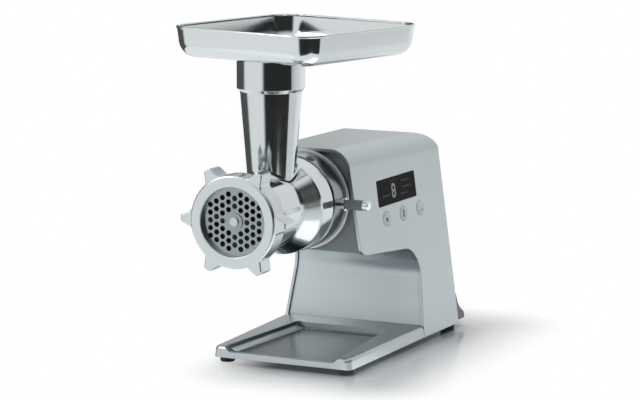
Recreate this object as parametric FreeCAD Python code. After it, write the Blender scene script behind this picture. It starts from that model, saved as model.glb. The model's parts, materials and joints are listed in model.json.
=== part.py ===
import FreeCAD, Part
import math
import os
from FreeCAD import Placement, Rotation, Vector

# Driving dimensions in millimetres. Depths run back from the ring nut's front, heights up from the floor.

# Shared clearances
running_gap = 0.05       # a shaft in its bush, on the radius
sliding_gap = 0.08       # the head's spigot in the collar, on the radius
loose_gap = 0.3          # parts that pass each other without guiding
pass_gap = 0.6           # turning parts that pass through a wall
cut_spare = 1.0          # how far a cutting shape runs past the face that it opens
side_spare = 0.05        # how far a plan outline stands outside the sides that it leaves alone
top_spare = 0.3          # how far a side outline stands above the top that it leaves alone
overrun = 20.0           # how far helper blocks run past the housing
touch = 0.01             # two heights this close are the same

# Stance
foot_height = 5.0
foot_radius = 6.2
foot_stud_radius = 2.2
foot_stud_height = 2.0
foot_edge = 0.6
foot_inset = 7.0         # foot centre from the base's side
foot_setback = 11.5      # foot centre from the base's front and back
base_height = 9.5        # underside of the base to the tops of its rails
axis_height = 136.4      # auger axis above the floor

# Ring nut
opening_radius = 28.0
ring_lip = 4.7
ring_length = 19.0
ring_wall = 3.6
ring_edge = 2.2          # rounding of the front edge
ring_inner_edge = 0.8
lug_count = 6
lug_reach = 9.0          # lug tip beyond the ring's body
lug_root_width = 13.0
lug_tip_width = 5.6
lug_end_inset = 0.8      # lugs end short of the ring's two faces
lug_tip_round = 2.2
lug_root_round = 5.0
lug_edge = 1.1           # rounding of the lugs' front and back edges
lug_turn = 0.5           # degrees that the first lug hangs below the level

# Grinding plate
plate_radius = 31.0
plate_thickness = 7.0
plate_seat = 3.7         # how deep the plate sits in the barrel
plate_hole_radius = 2.2
plate_hole_pitch = 6.2
plate_columns = (5, 6, 7, 8, 7, 8, 7, 6, 5)
plate_boss_radius = 7.0
plate_boss_height = 0.9

# Knife and auger
pin_radius = 3.6
pin_proud = 2.0          # auger pin beyond the plate
knife_gap = 0.1
knife_thickness = 5.5
knife_reach = 26.5
knife_hub_radius = 9.0
knife_arms = 4
knife_arm_width = 8.0
knife_tip_gap = 2.0      # arm tips inside the circle that they sweep
knife_tip_round = 1.0
shank_width = 8.5        # square that drives the knife
auger_radius = 25.4
auger_core = 9.0
auger_pitch = 30.0
flight_root = 6.0
flight_tip = 3.0
flight_end_gap = 4.0     # flight ends short of the chamber's ends
flight_sink = 1.5        # flight root inside the core
washer_radius = 14.0
washer_thickness = 1.6
tail_radius = 8.0        # journal in the rear bush
hex_flats = 13.0         # hexagon that the drive socket turns
hex_gap = 0.2
hex_end_gap = 1.0        # auger tail short of the socket's end

# Grinder head
thread_radius = 33.5
thread_length = 14.0
thread_run_out = 2.0
head_edge = 1.0          # rounding of the head's outer edges
barrel_wall = 4.0
chamber_gap = 0.6        # auger flight to bore
waist_depth = 64.0       # barrel is straight to here
bell_depth = 84.0        # bell has its full radius from here
bell_lip = 0.9           # bell is this much smaller than the collar
bell_round = 16.0
bell_lip_round = 8.0
rear_wall = 10.0         # wall that holds the rear bush
bush_wall = 2.5
spigot_radius = 34.0
spigot_length = 24.0
spigot_wall = 4.0
spigot_edge = 0.8
head_seat_gap = 0.4      # bell face to collar face

# Feed tube
tube_depth = 70.5
collar_setback = 10.3    # collar's front behind the tube's neck
tube_root_radius = 17.3  # at the auger's axis
tube_neck_radius = 25.2  # under the socket
tube_wall = 2.8
tube_foot_round = 5.0    # cast fillet where the tube meets the barrel
socket_bottom = 236.0
socket_radius = 27.8
socket_chamfer = 2.6
tray_seat = 259.0        # top of the tube, which carries the tray
spigot_depth = 14.0      # tray spigot inside the socket

# Food tray
tray_width = 150.0
tray_length = 148.0
tray_corner = 21.0
tray_height = 25.0
tray_taper = 3.5         # each side draws in by this much to the bottom
tray_edge = 8.5          # radius of the bottom edge
tray_wall = 1.2
tray_offset = 31.0       # tray centre behind the tube's axis
tray_turn = -14.7        # degrees, as the loose tray stands on its tube
tray_spigot_radius = 22.6

# Collar and lock on the housing's face
collar_radius = 40.2
collar_length = 30.0
collar_web = 6.0
collar_edge = 1.2
trim_width = 2.3
trim_height = 1.6
lock_setback = 13.0      # lock axis behind the collar's front
lock_pin_radius = 2.9
lock_bush_radius = 5.5
lock_bush_proud = 4.0
lock_tip_depth = 2.4     # pin tip inside the spigot's keyway
lock_grip_radius = 4.0
lock_grip_length = 15.5
lock_cap_length = 5.0
lock_grip_edge = 0.4
lock_cap_edge = 1.2
lock_travel_gap = 0.5
keyway_side_gap = 0.5

# Housing
shell_wall = 2.5
shell_front_gap = 5.0    # shell's top front edge ahead of the fascia
shell_front_lean = 3.5   # the front edge leans back by this much to the bottom
head_cover = 0.4         # room between collar and shell
head_side_margin = 5.3   # side of the head beyond the collar at the axis
head_drop = 45.0         # underside's front corner below the axis
underside_slope = 0.085  # underside falls towards the column
side_flare = 0.0416      # sides widen towards the back
side_lean = 0.136        # sides widen towards the floor
top_slope = 0.030        # top falls towards the back
top_round = 18.0
nose_round = 8.0
arch_round = 26.0
back_round = 25.0
rear_edge_round = 3.6
column_toe = 231.0       # column front at the floor
column_slope = 0.16      # column front leans back
housing_back = 305.0
fascia_thickness = 2.5
panel_inset = 1.5
panel_thickness = 2.0

# Base frame
base_front = 86.8
base_corner = 6.0
base_spread = 1.6        # the base's front corners stand out beyond the line of the sides
rail_round = 3.4
base_overlap = 2.0       # front part of the base runs into its back part
lip_height = 4.7         # low front lip between the rails
lip_half = 47.0          # half-width of the front opening at the lip
lip_flare = 6.0          # the opening widens by this much to the tops of the rails
lip_round = 3.0
recess_front_lip = 4.8
recess_back = 207.5
recess_front_half = 52.5
recess_back_half = 42.5
recess_corner = 4.0
recess_depth = 7.2
drip_thickness = 2.2
drip_dish = 1.0
drip_border = 3.0
drip_gap = 0.6

# Back cover
window_margin = 14.0
window_top_drop = 29.0   # window's top edge below the shell's top
window_round = 8.0
cover_gap = 0.35
cover_lap = 4.0
cover_lap_thickness = 2.0
cover_proud = 0.8
skirt_top = 30.0
skirt_reach = 12.0
skirt_lip = 5.0
skirt_edge = 1.5
skirt_knee_reach = 2.4   # where the skirt turns from upright to flared
skirt_knee_height = 19.5
skirt_knee_round = 12.0
skirt_inset = 1.0
vent_count = 9
vent_width = 3.2
vent_height = 42.0
vent_round = 1.45
vent_pitch = 7.4
vent_centre = 96.0
inlet_height = 38.0
inlet_radius = 8.0
inlet_flange = 10.5
inlet_flange_thickness = 2.5
inlet_bore = 3.8
inlet_depth = 9.0

# Display and buttons on the right side
display_setback = 76.0   # display centre behind the fascia
display_length = 73.5
display_height = 22.6
display_corner = 1.2
display_gap = 0.15
display_recess = 0.2
glass_thickness = 2.0
display_module_margin = 2.0
button_count = 3
button_pitch = 32.5
button_offset = 8.0      # button row's middle behind the display's centre
button_drop = 22.2       # button row below the display's centre
button_radius = 5.9
button_gap = 0.2
button_proud = 0.5
button_edge = 0.4
button_flange = 1.4
button_flange_thickness = 1.5
button_travel = 1.2
button_stem_radius = 1.5
board_depth = 9.0        # board face below the outer surface
board_thickness = 1.6
board_length = 88.0
board_height = 56.0
board_corner = 2.0
board_drop = 8.0         # board centre below the display's centre
spacer_radius = 2.5
spacer_inset = 3.5
switch_width = 6.0

# Gear train
gear_module = 0.7
pinion_teeth = 14
wheel_teeth = 56
tooth_addendum = 0.8     # in modules
tooth_dedendum = 1.05
pressure_angle = 20.0
backlash = 0.12
lay_angle = 220.0        # degrees, where the lay shaft stands from the axis
gear_width = 9.0
gear_space = 2.0         # between gears and walls along the shaft
pinion_overlap = 1.0     # pinions are wider than their wheels on each side
lay_axle_radius = 2.0
gearbox_wall = 3.0
gearbox_room = 2.0
socket_drive_radius = 12.0
socket_drive_depth = 17.0
output_shaft_radius = 7.0
output_bush_wall = 3.0

# Motor
motor_radius = 28.0
motor_length = 70.0
motor_wall = 1.5
bracket_thickness = 4.0
armature_radius = 18.0
armature_length = 42.0
armature_slots = 12
slot_width = 2.4
slot_depth = 5.0
magnet_gap = 1.0
magnet_sweep = 130.0     # degrees
motor_shaft_radius = 3.0
bearing_wall = 3.5
commutator_radius = 9.0
commutator_length = 11.0
commutator_setback = 4.0
brush_width = 5.0
brush_gap = 0.2
holder_wall = 1.2
holder_gap = 2.0         # holder to commutator
fan_radius = 24.0
fan_blades = 9
fan_depth = 10.0
fan_hub_radius = 7.0
fan_blade_thickness = 1.5
fan_blade_sink = 1.0     # blade root inside the hub
fan_space = 3.0

# Depths along the auger's axis, from the ring nut backwards
plate_front = ring_lip
plate_back = plate_front + plate_thickness
barrel_front = plate_back - plate_seat
knife_front = plate_back + knife_gap
knife_back = knife_front + knife_thickness
collar_front = tube_depth + tube_neck_radius + collar_setback
bell_back = collar_front - head_seat_gap
bush_front = bell_back - rear_wall
washer_front = bush_front - washer_thickness - knife_gap
spigot_back = bell_back + spigot_length
fascia_front = collar_front + collar_length
fascia_back = fascia_front + fascia_thickness
shell_front = fascia_front - shell_front_gap
case_inside = fascia_back + gearbox_wall
output_gear_front = case_inside + gear_space
lay_gear_front = output_gear_front + gear_width + 2 * gear_space
cover_front = lay_gear_front + gear_width + gear_space
cover_back = cover_front + gearbox_wall
can_front = cover_back + bracket_thickness
can_back = can_front + motor_length
bracket_back = can_back + bracket_thickness
socket_drive_front = fascia_front - socket_drive_depth - collar_web

# Heights and widths of the housing
base_top = foot_height + base_height
head_half = collar_radius + head_side_margin
side_slant = math.sqrt(1 + side_flare ** 2 + side_lean ** 2)
head_top = axis_height + collar_radius + head_cover + shell_wall
head_bottom = axis_height - head_drop
skirt_back = housing_back + skirt_reach
reach = 2 * housing_back
ring_bore = thread_radius + loose_gap
ring_radius = ring_bore + ring_wall
barrel_bore = auger_radius + chamber_gap
barrel_radius = barrel_bore + barrel_wall
bell_radius = collar_radius - bell_lip
pitch_pinion = gear_module * pinion_teeth / 2
pitch_wheel = gear_module * wheel_teeth / 2
centre_distance = pitch_pinion + pitch_wheel
lay_x = centre_distance * math.cos(math.radians(lay_angle))
lay_z = axis_height + centre_distance * math.sin(math.radians(lay_angle))
tray_turn_rad = math.radians(tray_turn)
tray_mid_x = -tray_offset * math.sin(tray_turn_rad)

# The origin is the middle of the whole object's outline, on the floor
origin_shift = Vector(-tray_mid_x, -skirt_back / 2, 0)


# Signs of a rectangle's four corners, going round
quarters = ((-1, -1), (1, -1), (1, 1), (-1, 1))


# Drawing helpers

def rounded(corners, radii):
    """Closed flat outline through the corners, each rounded by its radius (0 keeps it sharp)."""
    stops = []
    for index, corner in enumerate(corners):
        before = (corners[index - 1] - corner).normalize()
        after = (corners[(index + 1) % len(corners)] - corner).normalize()
        radius = radii[index]
        half = before.getAngle(after) / 2
        run = radius / math.tan(half)
        middle = corner + (before + after).normalize() * (radius / math.sin(half) - radius)
        stops.append((corner + before * run, middle, corner + after * run, radius))
    edges = []
    for index, (start, middle, end, radius) in enumerate(stops):
        if radius > 0:
            edges.append(Part.Arc(start, middle, end).toShape())
        edges.append(Part.makeLine(end, stops[(index + 1) % len(stops)][0]))
    return Part.Wire(edges)


def spun(profile, radii=None):
    """Solid of revolution about the auger's axis, from (radius, depth) corners."""
    corners = [Vector(radius, depth, axis_height) for radius, depth in profile]
    outline = rounded(corners, radii or [0] * len(corners))
    return Part.Face(outline).revolve(Vector(0, 0, axis_height), Vector(0, 1, 0), 360)


def rod(radius, start, end, x=0.0, z=axis_height):
    """Round bar along the depth."""
    return Part.makeCylinder(radius, end - start, Vector(x, start, z), Vector(0, 1, 0))


def pipe(outer, inner, start, end, x=0.0, z=axis_height):
    """Round tube along the depth."""
    return rod(outer, start, end, x, z).cut(rod(inner, start, end, x, z))


def across(points, radii):
    """Side outline of (depth, height) corners, carried right through the width."""
    corners = [Vector(-reach, depth, height) for depth, height in points]
    return Part.Face(rounded(corners, radii)).extrude(Vector(2 * reach, 0, 0))


def block(x0, x1, y0, y1, z0, z1):
    """Plain block between two corners."""
    return Part.makeBox(x1 - x0, y1 - y0, z1 - z0, Vector(x0, y0, z0))


def prism_y(corners, radii, start, end):
    """Front outline of (x, height) corners, carried back from start to end."""
    outline = rounded([Vector(x, start, z) for x, z in corners], radii)
    return Part.Face(outline).extrude(Vector(0, end - start, 0))


def hexagon(flats, start, end):
    """Hexagonal bar on the auger's axis."""
    corner_radius = flats / math.sqrt(3)
    corners = []
    for step in range(6):
        angle = math.radians(60 * step + 30)
        corners.append((corner_radius * math.cos(angle), axis_height + corner_radius * math.sin(angle)))
    return prism_y(corners, [0] * 6, start, end)


def fused(solids):
    """All the solids as one."""
    return solids[0].multiFuse(solids[1:]).removeSplitter()


# Housing form

def side_x(depth, height):
    """Half-width of the housing's outer side at a depth and height."""
    return head_half + side_flare * (depth - shell_front) - side_lean * (height - axis_height)


def top_at(depth):
    """Height of the housing's top."""
    return head_top - top_slope * (depth - shell_front)


def body_block(inset, bottom):
    """Housing between its leaning sides and under its rounded top, set in by inset."""
    sections = []
    for depth in (0.0, skirt_back + overrun):
        top = top_at(depth) - inset
        low = side_x(depth, bottom) - inset * side_slant
        high = side_x(depth, top) - inset * side_slant
        corners = [Vector(-low, depth, bottom), Vector(low, depth, bottom)]
        corners += [Vector(high, depth, top), Vector(-high, depth, top)]
        sections.append(rounded(corners, (0, 0, top_round - inset, top_round - inset)))
    return Part.makeLoft(sections, True, True)


def plan_block(front, back, low, high, radii, near_spread, far_spread):
    """Plan of the housing between two depths and heights; the spreads widen its front and back ends."""
    sections = []
    for height in (low, high):
        near = side_x(front, height) + near_spread
        far = side_x(back, height) + far_spread
        corners = [Vector(-near, front, height), Vector(near, front, height)]
        corners += [Vector(far, back, height), Vector(-far, back, height)]
        sections.append(rounded(corners, radii))
    return Part.makeLoft(sections, True, True)


def arch_path(inset):
    """Nose, arch and toe of the side outline as (depth, height), moved into the housing by inset."""
    nose_depth = shell_front + shell_front_lean
    nose_height = head_bottom + inset * math.hypot(1, underside_slope)
    toe_depth = column_toe + inset * math.hypot(1, column_slope)
    drop = nose_height + underside_slope * nose_depth - foot_height
    arch_depth = (toe_depth + column_slope * drop) / (1 + column_slope * underside_slope)
    arch_height = nose_height - underside_slope * (arch_depth - nose_depth)
    return (nose_depth, nose_height), (arch_depth, arch_height), (toe_depth, foot_height)


def shell_solid(inset, back_edge, corner_spread):
    """Solid inside the shell's outer faces (inset 0) or its inner faces (inset of the wall)."""
    nose, arch, toe = arch_path(inset)
    back = housing_back - inset
    over = top_spare - inset
    front = shell_front - inset
    points = [(front, top_at(front) + over), nose, arch, toe]
    points += [(back, foot_height), (back, top_at(back) + over)]
    outline = across(points, (0, nose_round, arch_round, 0, 0, back_round - inset))
    radii = (0, 0, back_edge, back_edge)
    rear = plan_block(0, back, -overrun, head_top + overrun, radii, corner_spread, corner_spread)
    return body_block(inset, -overrun).common(outline).common(rear)


def inner_block():
    """Everything between the shell's inner walls, open to the front and below."""
    back = housing_back - shell_wall
    over = top_spare - shell_wall
    points = [(0, top_at(0) + over), (0, -overrun), (back, -overrun), (back, top_at(back) + over)]
    outline = across(points, (0, 0, 0, back_round - shell_wall))
    spread = side_spare - shell_wall * side_slant
    edge = rear_edge_round - shell_wall
    radii = (0, 0, edge, edge)
    rear = plan_block(-overrun, back, -overrun, head_top + overrun, radii, spread, spread)
    return body_block(shell_wall, -overrun).common(outline).common(rear)


def back_outline(margin, drop):
    """Back window's (x, height) corners, set in from the housing's sides, top and base by a margin."""
    low = base_top + margin
    high = top_at(housing_back) - drop
    near = side_x(housing_back, low) - margin
    far = side_x(housing_back, high) - margin
    return [(-near, low), (near, low), (far, high), (-far, high)]


# Frame of the right side: x to the back, y up, z outwards
display_depth = fascia_front + display_setback
side_out = Vector(1, -side_flare, side_lean).normalize()
side_back = Vector(side_flare, 1, 0).normalize()
side_up = side_out.cross(side_back)
side_origin = Vector(side_x(display_depth, axis_height), display_depth, axis_height)
side_frame = Placement(side_origin, Rotation(side_back, side_up, side_out, "XYZ"))


def on_side(shape):
    """The shape, drawn flat, set on the right side's outer face."""
    shape.Placement = side_frame.multiply(shape.Placement)
    return shape


def side_panel(length, height, corner, low, high):
    """Rounded panel parallel to the right side."""
    half = (length / 2, height / 2)
    corners = [Vector(x * half[0], y * half[1], low) for x, y in quarters]
    return Part.Face(rounded(corners, [corner] * 4)).extrude(Vector(0, 0, high - low))


def button_places():
    """Button centres on the right side, front to back."""
    first = button_offset - button_pitch * (button_count - 1) / 2
    return [(first + index * button_pitch, -button_drop) for index in range(button_count)]


# Housing pieces

def make_main_shell():
    """Bent cover: two sides, top and back, with the back window, the display window and the button holes."""
    shell = shell_solid(0, rear_edge_round, side_spare).cut(inner_block())
    window = prism_y(back_outline(window_margin, window_top_drop), [window_round] * 4,
                     housing_back - 2 * shell_wall, housing_back + shell_wall)
    shell = shell.cut(window)
    opening = side_panel(display_length, display_height, display_corner, -2 * shell_wall, shell_wall)
    shell = shell.cut(on_side(opening))
    for x, y in button_places():
        hole = Part.makeCylinder(button_radius + button_gap, 3 * shell_wall, Vector(x, y, -2 * shell_wall))
        shell = shell.cut(on_side(hole))
    return shell


def make_front_fascia():
    """Flat plate behind the collar, closing the head's front."""
    nose, arch, toe = arch_path(panel_inset)
    room = block(-reach, reach, fascia_front, fascia_back, nose[1], head_top)
    return inner_block().common(room).cut(rod(socket_drive_radius + pass_gap, 0, housing_back))


def make_column_panel():
    """Bent sheet that closes the underside of the head and the front of the column."""
    runs = []
    for inset in (panel_inset, panel_inset + panel_thickness):
        nose, arch, toe = arch_path(inset)
        front = (fascia_back, nose[1] - underside_slope * (fascia_back - nose[0]))
        foot = (toe[0] + column_slope * base_height, base_top)
        runs.append([front, arch, foot])
    points = runs[0] + runs[1][::-1]
    radii = (0, arch_round + panel_inset, 0, 0, arch_round + panel_inset + panel_thickness, 0)
    return inner_block().common(across(points, radii))


def make_back_cover():
    """Vented cover in the back window, with a lap inside and a flared skirt at the foot."""
    wall_inside = housing_back - shell_wall
    plug = prism_y(back_outline(window_margin + cover_gap, window_top_drop + cover_gap),
                   [window_round - cover_gap] * 4, wall_inside, housing_back + cover_proud)
    lap = prism_y(back_outline(window_margin - cover_lap, window_top_drop - cover_lap),
                  [window_round] * 4, wall_inside - cover_lap_thickness, wall_inside)
    foot = foot_height + panel_thickness
    points = [(housing_back, skirt_top), (housing_back, foot), (skirt_back, foot)]
    points += [(skirt_back, foot + skirt_lip), (housing_back + skirt_knee_reach, skirt_knee_height)]
    radii = (0, 0, skirt_edge, skirt_edge, skirt_knee_round)
    skirt = across(points, radii).common(body_block(skirt_inset, 0))
    cover = fused([plug, lap.common(inner_block()), skirt])
    for index in range(vent_count):
        x = (index - (vent_count - 1) / 2) * vent_pitch
        half = (vent_width / 2, vent_height / 2)
        corners = [(x + i * half[0], vent_centre + j * half[1]) for i, j in quarters]
        slot = prism_y(corners, [vent_round] * 4, housing_back - 4 * shell_wall, housing_back + shell_wall)
        cover = cover.cut(slot)
    return cover.cut(rod(inlet_radius, 0, 2 * housing_back, 0, inlet_height))


def make_cord_inlet():
    """Bush that the mains lead passes through."""
    front = housing_back - shell_wall - cover_lap_thickness
    back = housing_back + cover_proud + inlet_depth
    body = rod(inlet_radius, front - inlet_flange_thickness, back, 0, inlet_height)
    flange = rod(inlet_flange, front - inlet_flange_thickness, front, 0, inlet_height)
    return fused([body, flange]).cut(rod(inlet_bore, 0, 2 * housing_back, 0, inlet_height))


def make_base_frame():
    """Base with rails, a low front lip and a recess; its back part stands between the shell's sides."""
    corners = (base_corner, base_corner, 0, 0)
    front = plan_block(base_front, column_toe, foot_height, base_top, corners, base_spread, 0)
    rim = [edge for edge in front.Edges if is_rail_edge(edge)]
    front = front.makeFillet(rail_round, rim)
    rear_room = block(-reach, reach, column_toe - base_overlap, housing_back, foot_height, base_top)
    base = fused([front, inner_block().common(rear_room)])
    base = base.cut(recess_solid(0, base_top - recess_depth, base_top + recess_depth)).cut(lip_opening())
    for x, y in foot_places():
        stud = Part.makeCylinder(foot_stud_radius, foot_stud_height, Vector(x, y, foot_height))
        base = base.cut(stud)
    return base


def lip_opening():
    """Flared opening between the front ends of the rails, down to the lip."""
    low = foot_height + lip_height
    high = base_top + cut_spare
    wide = lip_half + lip_flare * (high - low) / (base_top - low)
    corners = [(-lip_half, low), (lip_half, low), (wide, high), (-wide, high)]
    back = base_front + recess_front_lip + recess_corner
    return prism_y(corners, (lip_round, lip_round, 0, 0), base_front - cut_spare, back)


def is_rail_edge(edge):
    """True for the top outer edges of the base's front part, apart from its straight back edge."""
    box = edge.BoundBox
    return box.ZMin > base_top - touch and box.YMin < column_toe - touch


def recess_solid(gap, low, high):
    """Tapered recess in the base, set in by a gap."""
    front = base_front + recess_front_lip + gap
    back = recess_back - gap
    corners = [Vector(-recess_front_half + gap, front, low), Vector(recess_front_half - gap, front, low)]
    corners += [Vector(recess_back_half - gap, back, low), Vector(-recess_back_half + gap, back, low)]
    return Part.Face(rounded(corners, [recess_corner] * 4)).extrude(Vector(0, 0, high - low))


def foot_places():
    """Centres of the four feet."""
    places = []
    for depth in (base_front + foot_setback, housing_back - foot_setback):
        half = side_x(depth, foot_height) - foot_inset
        places += [(-half, depth), (half, depth)]
    return places


def make_rubber_feet():
    """Four feet, each with a stud pressed into the base."""
    feet = []
    for x, y in foot_places():
        pad = Part.makeCylinder(foot_radius, foot_height, Vector(x, y, 0))
        pad = pad.makeChamfer(foot_edge, [edge for edge in pad.Edges if edge.BoundBox.ZMax < touch])
        stud = Part.makeCylinder(foot_stud_radius, foot_stud_height, Vector(x, y, foot_height))
        feet.append(fused([pad, stud]))
    return Part.makeCompound(feet)


def make_drip_plate():
    """Shallow dish that lies in the base's recess."""
    low = base_top - recess_depth
    dish = recess_solid(drip_gap, low, low + drip_thickness)
    return dish.cut(recess_solid(drip_gap + drip_border, low + drip_thickness - drip_dish, base_top))


# Collar and lock

def lock_depth():
    """Depth of the lock's axis."""
    return collar_front + lock_setback


def lock_rod(radius, start, end):
    """Round bar along the lock's axis."""
    return Part.makeCylinder(radius, end - start, Vector(start, lock_depth(), axis_height), Vector(1, 0, 0))


def make_socket_collar():
    """Polished collar on the fascia; its bore takes the head's spigot."""
    bore = spigot_radius + sliding_gap
    web_front = fascia_front - collar_web
    hole = socket_drive_radius + pass_gap
    profile = [(bore, collar_front), (collar_radius, collar_front), (collar_radius, fascia_front)]
    profile += [(hole, fascia_front), (hole, web_front), (bore, web_front)]
    collar = spun(profile, (0, collar_edge, 0, 0, 0, 0))
    return collar.cut(lock_rod(lock_bush_radius, 0, collar_radius + lock_bush_proud))


def make_trim_ring():
    """Thin bright ring round the collar, just ahead of the shell."""
    back = shell_front - loose_gap
    return pipe(collar_radius + trim_height, collar_radius, back - trim_width, back)


def make_lock_bush():
    """Bush in the collar that guides the lock pin."""
    start = spigot_radius + lock_travel_gap
    bush = lock_rod(lock_bush_radius, start, collar_radius + lock_bush_proud)
    return bush.cut(lock_rod(lock_pin_radius + running_gap, 0, reach))


def make_lock_pin():
    """Pin whose tip stands in the spigot's keyway."""
    return lock_rod(lock_pin_radius, spigot_radius - lock_tip_depth, lock_grip_start())


def lock_grip_start():
    """Where the lock's grip begins, clear of its bush."""
    return collar_radius + lock_bush_proud + lock_travel_gap


def make_lock_grip():
    """Dark grip on the lock pin."""
    start = lock_grip_start()
    grip = lock_rod(lock_grip_radius, start, start + lock_grip_length)
    rim = [edge for edge in grip.Edges if edge.BoundBox.XMax < start + touch]
    return grip.makeChamfer(lock_grip_edge, rim)


def make_lock_cap():
    """Bright end of the lock's grip."""
    start = lock_grip_start() + lock_grip_length
    end = start + lock_cap_length
    cap = lock_rod(lock_grip_radius, start, end)
    return cap.makeFillet(lock_cap_edge, [edge for edge in cap.Edges if edge.BoundBox.XMin > end - touch])


# Display and controls

def make_display_window():
    """Black glass, a little below the shell's face."""
    gap = 2 * display_gap
    return on_side(side_panel(display_length - gap, display_height - gap, display_corner,
                              -display_recess - glass_thickness, -display_recess))


def make_display_panel():
    """Display module between the glass and the control board."""
    margin = 2 * display_module_margin
    return on_side(side_panel(display_length - margin, display_height - margin, display_corner,
                              -board_depth, -display_recess - glass_thickness))


def make_control_board():
    """Board with a switch under each button."""
    board = side_panel(board_length, board_height, board_corner, -board_depth - board_thickness, -board_depth)
    board.translate(Vector(button_offset, -board_drop, 0))
    pieces = [board]
    switch_top = -(shell_wall + loose_gap + button_flange_thickness + 2 * button_travel + loose_gap)
    for x, y in button_places():
        switch = Part.makeBox(switch_width, switch_width, board_depth + switch_top)
        switch.translate(Vector(x - switch_width / 2, y - switch_width / 2, -board_depth))
        pieces.append(switch)
    return on_side(fused(pieces))


def make_board_spacers():
    """Four posts that hold the board off the shell."""
    posts = []
    for i in (-1, 1):
        for j in (-1, 1):
            x = button_offset + i * (board_length / 2 - spacer_inset)
            y = j * (board_height / 2 - spacer_inset) - board_drop
            post = Part.makeCylinder(spacer_radius, board_depth - shell_wall, Vector(x, y, -board_depth))
            posts.append(on_side(post))
    return Part.makeCompound(posts)


def make_button(index):
    """Round button with a flange behind the shell and a stem to its switch."""
    x, y = button_places()[index]
    flange_top = -shell_wall - loose_gap
    flange_low = flange_top - button_flange_thickness
    cap = Part.makeCylinder(button_radius, button_proud - flange_top, Vector(x, y, flange_top))
    rim = [edge for edge in cap.Edges if edge.BoundBox.ZMin > button_proud - touch]
    cap = cap.makeFillet(button_edge, rim)
    flange_radius = button_radius + button_flange
    flange = Part.makeCylinder(flange_radius, button_flange_thickness, Vector(x, y, flange_low))
    stem = Part.makeCylinder(button_stem_radius, button_travel, Vector(x, y, flange_low - button_travel))
    return on_side(fused([cap, flange, stem]))


# Gear train

def involute(angle):
    """Involute of a pressure angle."""
    return math.tan(angle) - angle


def gear(teeth, start, width, x, z, tooth_angle):
    """Spur gear along the depth with one tooth pointing at tooth_angle (radians, from +X towards +Z)."""
    pitch = gear_module * teeth / 2
    base = pitch * math.cos(math.radians(pressure_angle))
    tip = pitch + gear_module * tooth_addendum
    root = pitch - gear_module * tooth_dedendum
    half = math.pi / (2 * teeth) - backlash / (2 * pitch) + involute(math.radians(pressure_angle))
    flank = [(root, half)] if root < base else []
    for radius in (max(root, base), pitch, tip):
        flank.append((radius, half - involute(math.acos(min(1.0, base / radius)))))
    corners = []
    for tooth in range(teeth):
        middle = tooth_angle + 2 * math.pi * tooth / teeth
        rising = [(radius, middle - spread) for radius, spread in flank]
        falling = [(radius, middle + spread) for radius, spread in reversed(flank)]
        for radius, angle in rising + falling:
            corners.append(Vector(x + radius * math.cos(angle), start, z + radius * math.sin(angle)))
    outline = Part.makePolygon(corners + corners[:1])
    return Part.Face(outline).extrude(Vector(0, width, 0))


def lay_direction():
    """Direction from the axis to the lay shaft, in radians."""
    return math.radians(lay_angle)


def make_armature_shaft():
    """Motor shaft with its pinion cut on the front end."""
    start = lay_gear_front - pinion_overlap
    pinion = gear(pinion_teeth, start, gear_width + 2 * pinion_overlap, 0, axis_height, lay_direction())
    return fused([pinion, rod(motor_shaft_radius, start, fan_back())])


def make_lay_gear():
    """Lay gear: the wheel driven by the motor and the pinion that drives the output wheel."""
    to_axis = lay_direction() + math.pi
    wheel = gear(wheel_teeth, lay_gear_front, gear_width, lay_x, lay_z, to_axis + math.pi / wheel_teeth)
    start = output_gear_front - pinion_overlap
    pinion = gear(pinion_teeth, start, lay_gear_front - start, lay_x, lay_z, to_axis)
    bore = rod(lay_axle_radius + running_gap, 0, housing_back, lay_x, lay_z)
    return fused([wheel, pinion]).cut(bore)


def make_output_gear():
    """Wheel on the output shaft."""
    angle = lay_direction() + math.pi / wheel_teeth
    wheel = gear(wheel_teeth, output_gear_front, gear_width, 0, axis_height, angle)
    return wheel.cut(rod(output_shaft_radius, 0, housing_back))


def make_drive_socket():
    """Output shaft with the hexagonal socket that turns the auger."""
    socket = rod(socket_drive_radius, socket_drive_front, fascia_front + fascia_thickness / 2)
    shaft = rod(output_shaft_radius, fascia_front, output_gear_front + gear_width)
    hole = hexagon(hex_flats + 2 * hex_gap, socket_drive_front, socket_drive_front + socket_drive_depth)
    return fused([socket, shaft]).cut(hole)


def gearbox_outline(radius, start, end):
    """Two round ends joined by tangents, round the axis and the lay shaft."""
    along = Vector(lay_x, 0, lay_z - axis_height).normalize()
    side = Vector(along.z, 0, -along.x) * radius
    here = Vector(0, start, axis_height)
    there = Vector(lay_x, start, lay_z)
    web = Part.Face(Part.makePolygon([here + side, there + side, there - side, here - side, here + side]))
    return fused([rod(radius, start, end), rod(radius, start, end, lay_x, lay_z),
                  web.extrude(Vector(0, end - start, 0))])


def gearbox_radius():
    """Inside radius of the gearbox round each shaft."""
    return pitch_wheel + gear_module * tooth_addendum + gearbox_room


def make_gearbox_case():
    """Open-backed gear case on the fascia."""
    case = gearbox_outline(gearbox_radius() + gearbox_wall, fascia_back, cover_front)
    case = case.cut(gearbox_outline(gearbox_radius(), case_inside, cover_front))
    case = case.cut(rod(output_shaft_radius + output_bush_wall, 0, housing_back))
    return case.cut(rod(lay_axle_radius, 0, housing_back, lay_x, lay_z))


def make_gearbox_cover():
    """Cover that closes the gear case and carries the motor."""
    cover = gearbox_outline(gearbox_radius() + gearbox_wall, cover_front, cover_back)
    hole = pitch_pinion + gear_module * tooth_addendum + pass_gap
    cover = cover.cut(rod(hole, 0, housing_back))
    return cover.cut(rod(lay_axle_radius, 0, housing_back, lay_x, lay_z))


def make_output_bush():
    """Bush of the output shaft in the gear case."""
    outer = output_shaft_radius + output_bush_wall
    return pipe(outer, output_shaft_radius + running_gap, fascia_back, case_inside)


def make_lay_axle():
    """Fixed axle of the lay gear."""
    return rod(lay_axle_radius, fascia_back, cover_back, lay_x, lay_z)


# Motor

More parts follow.
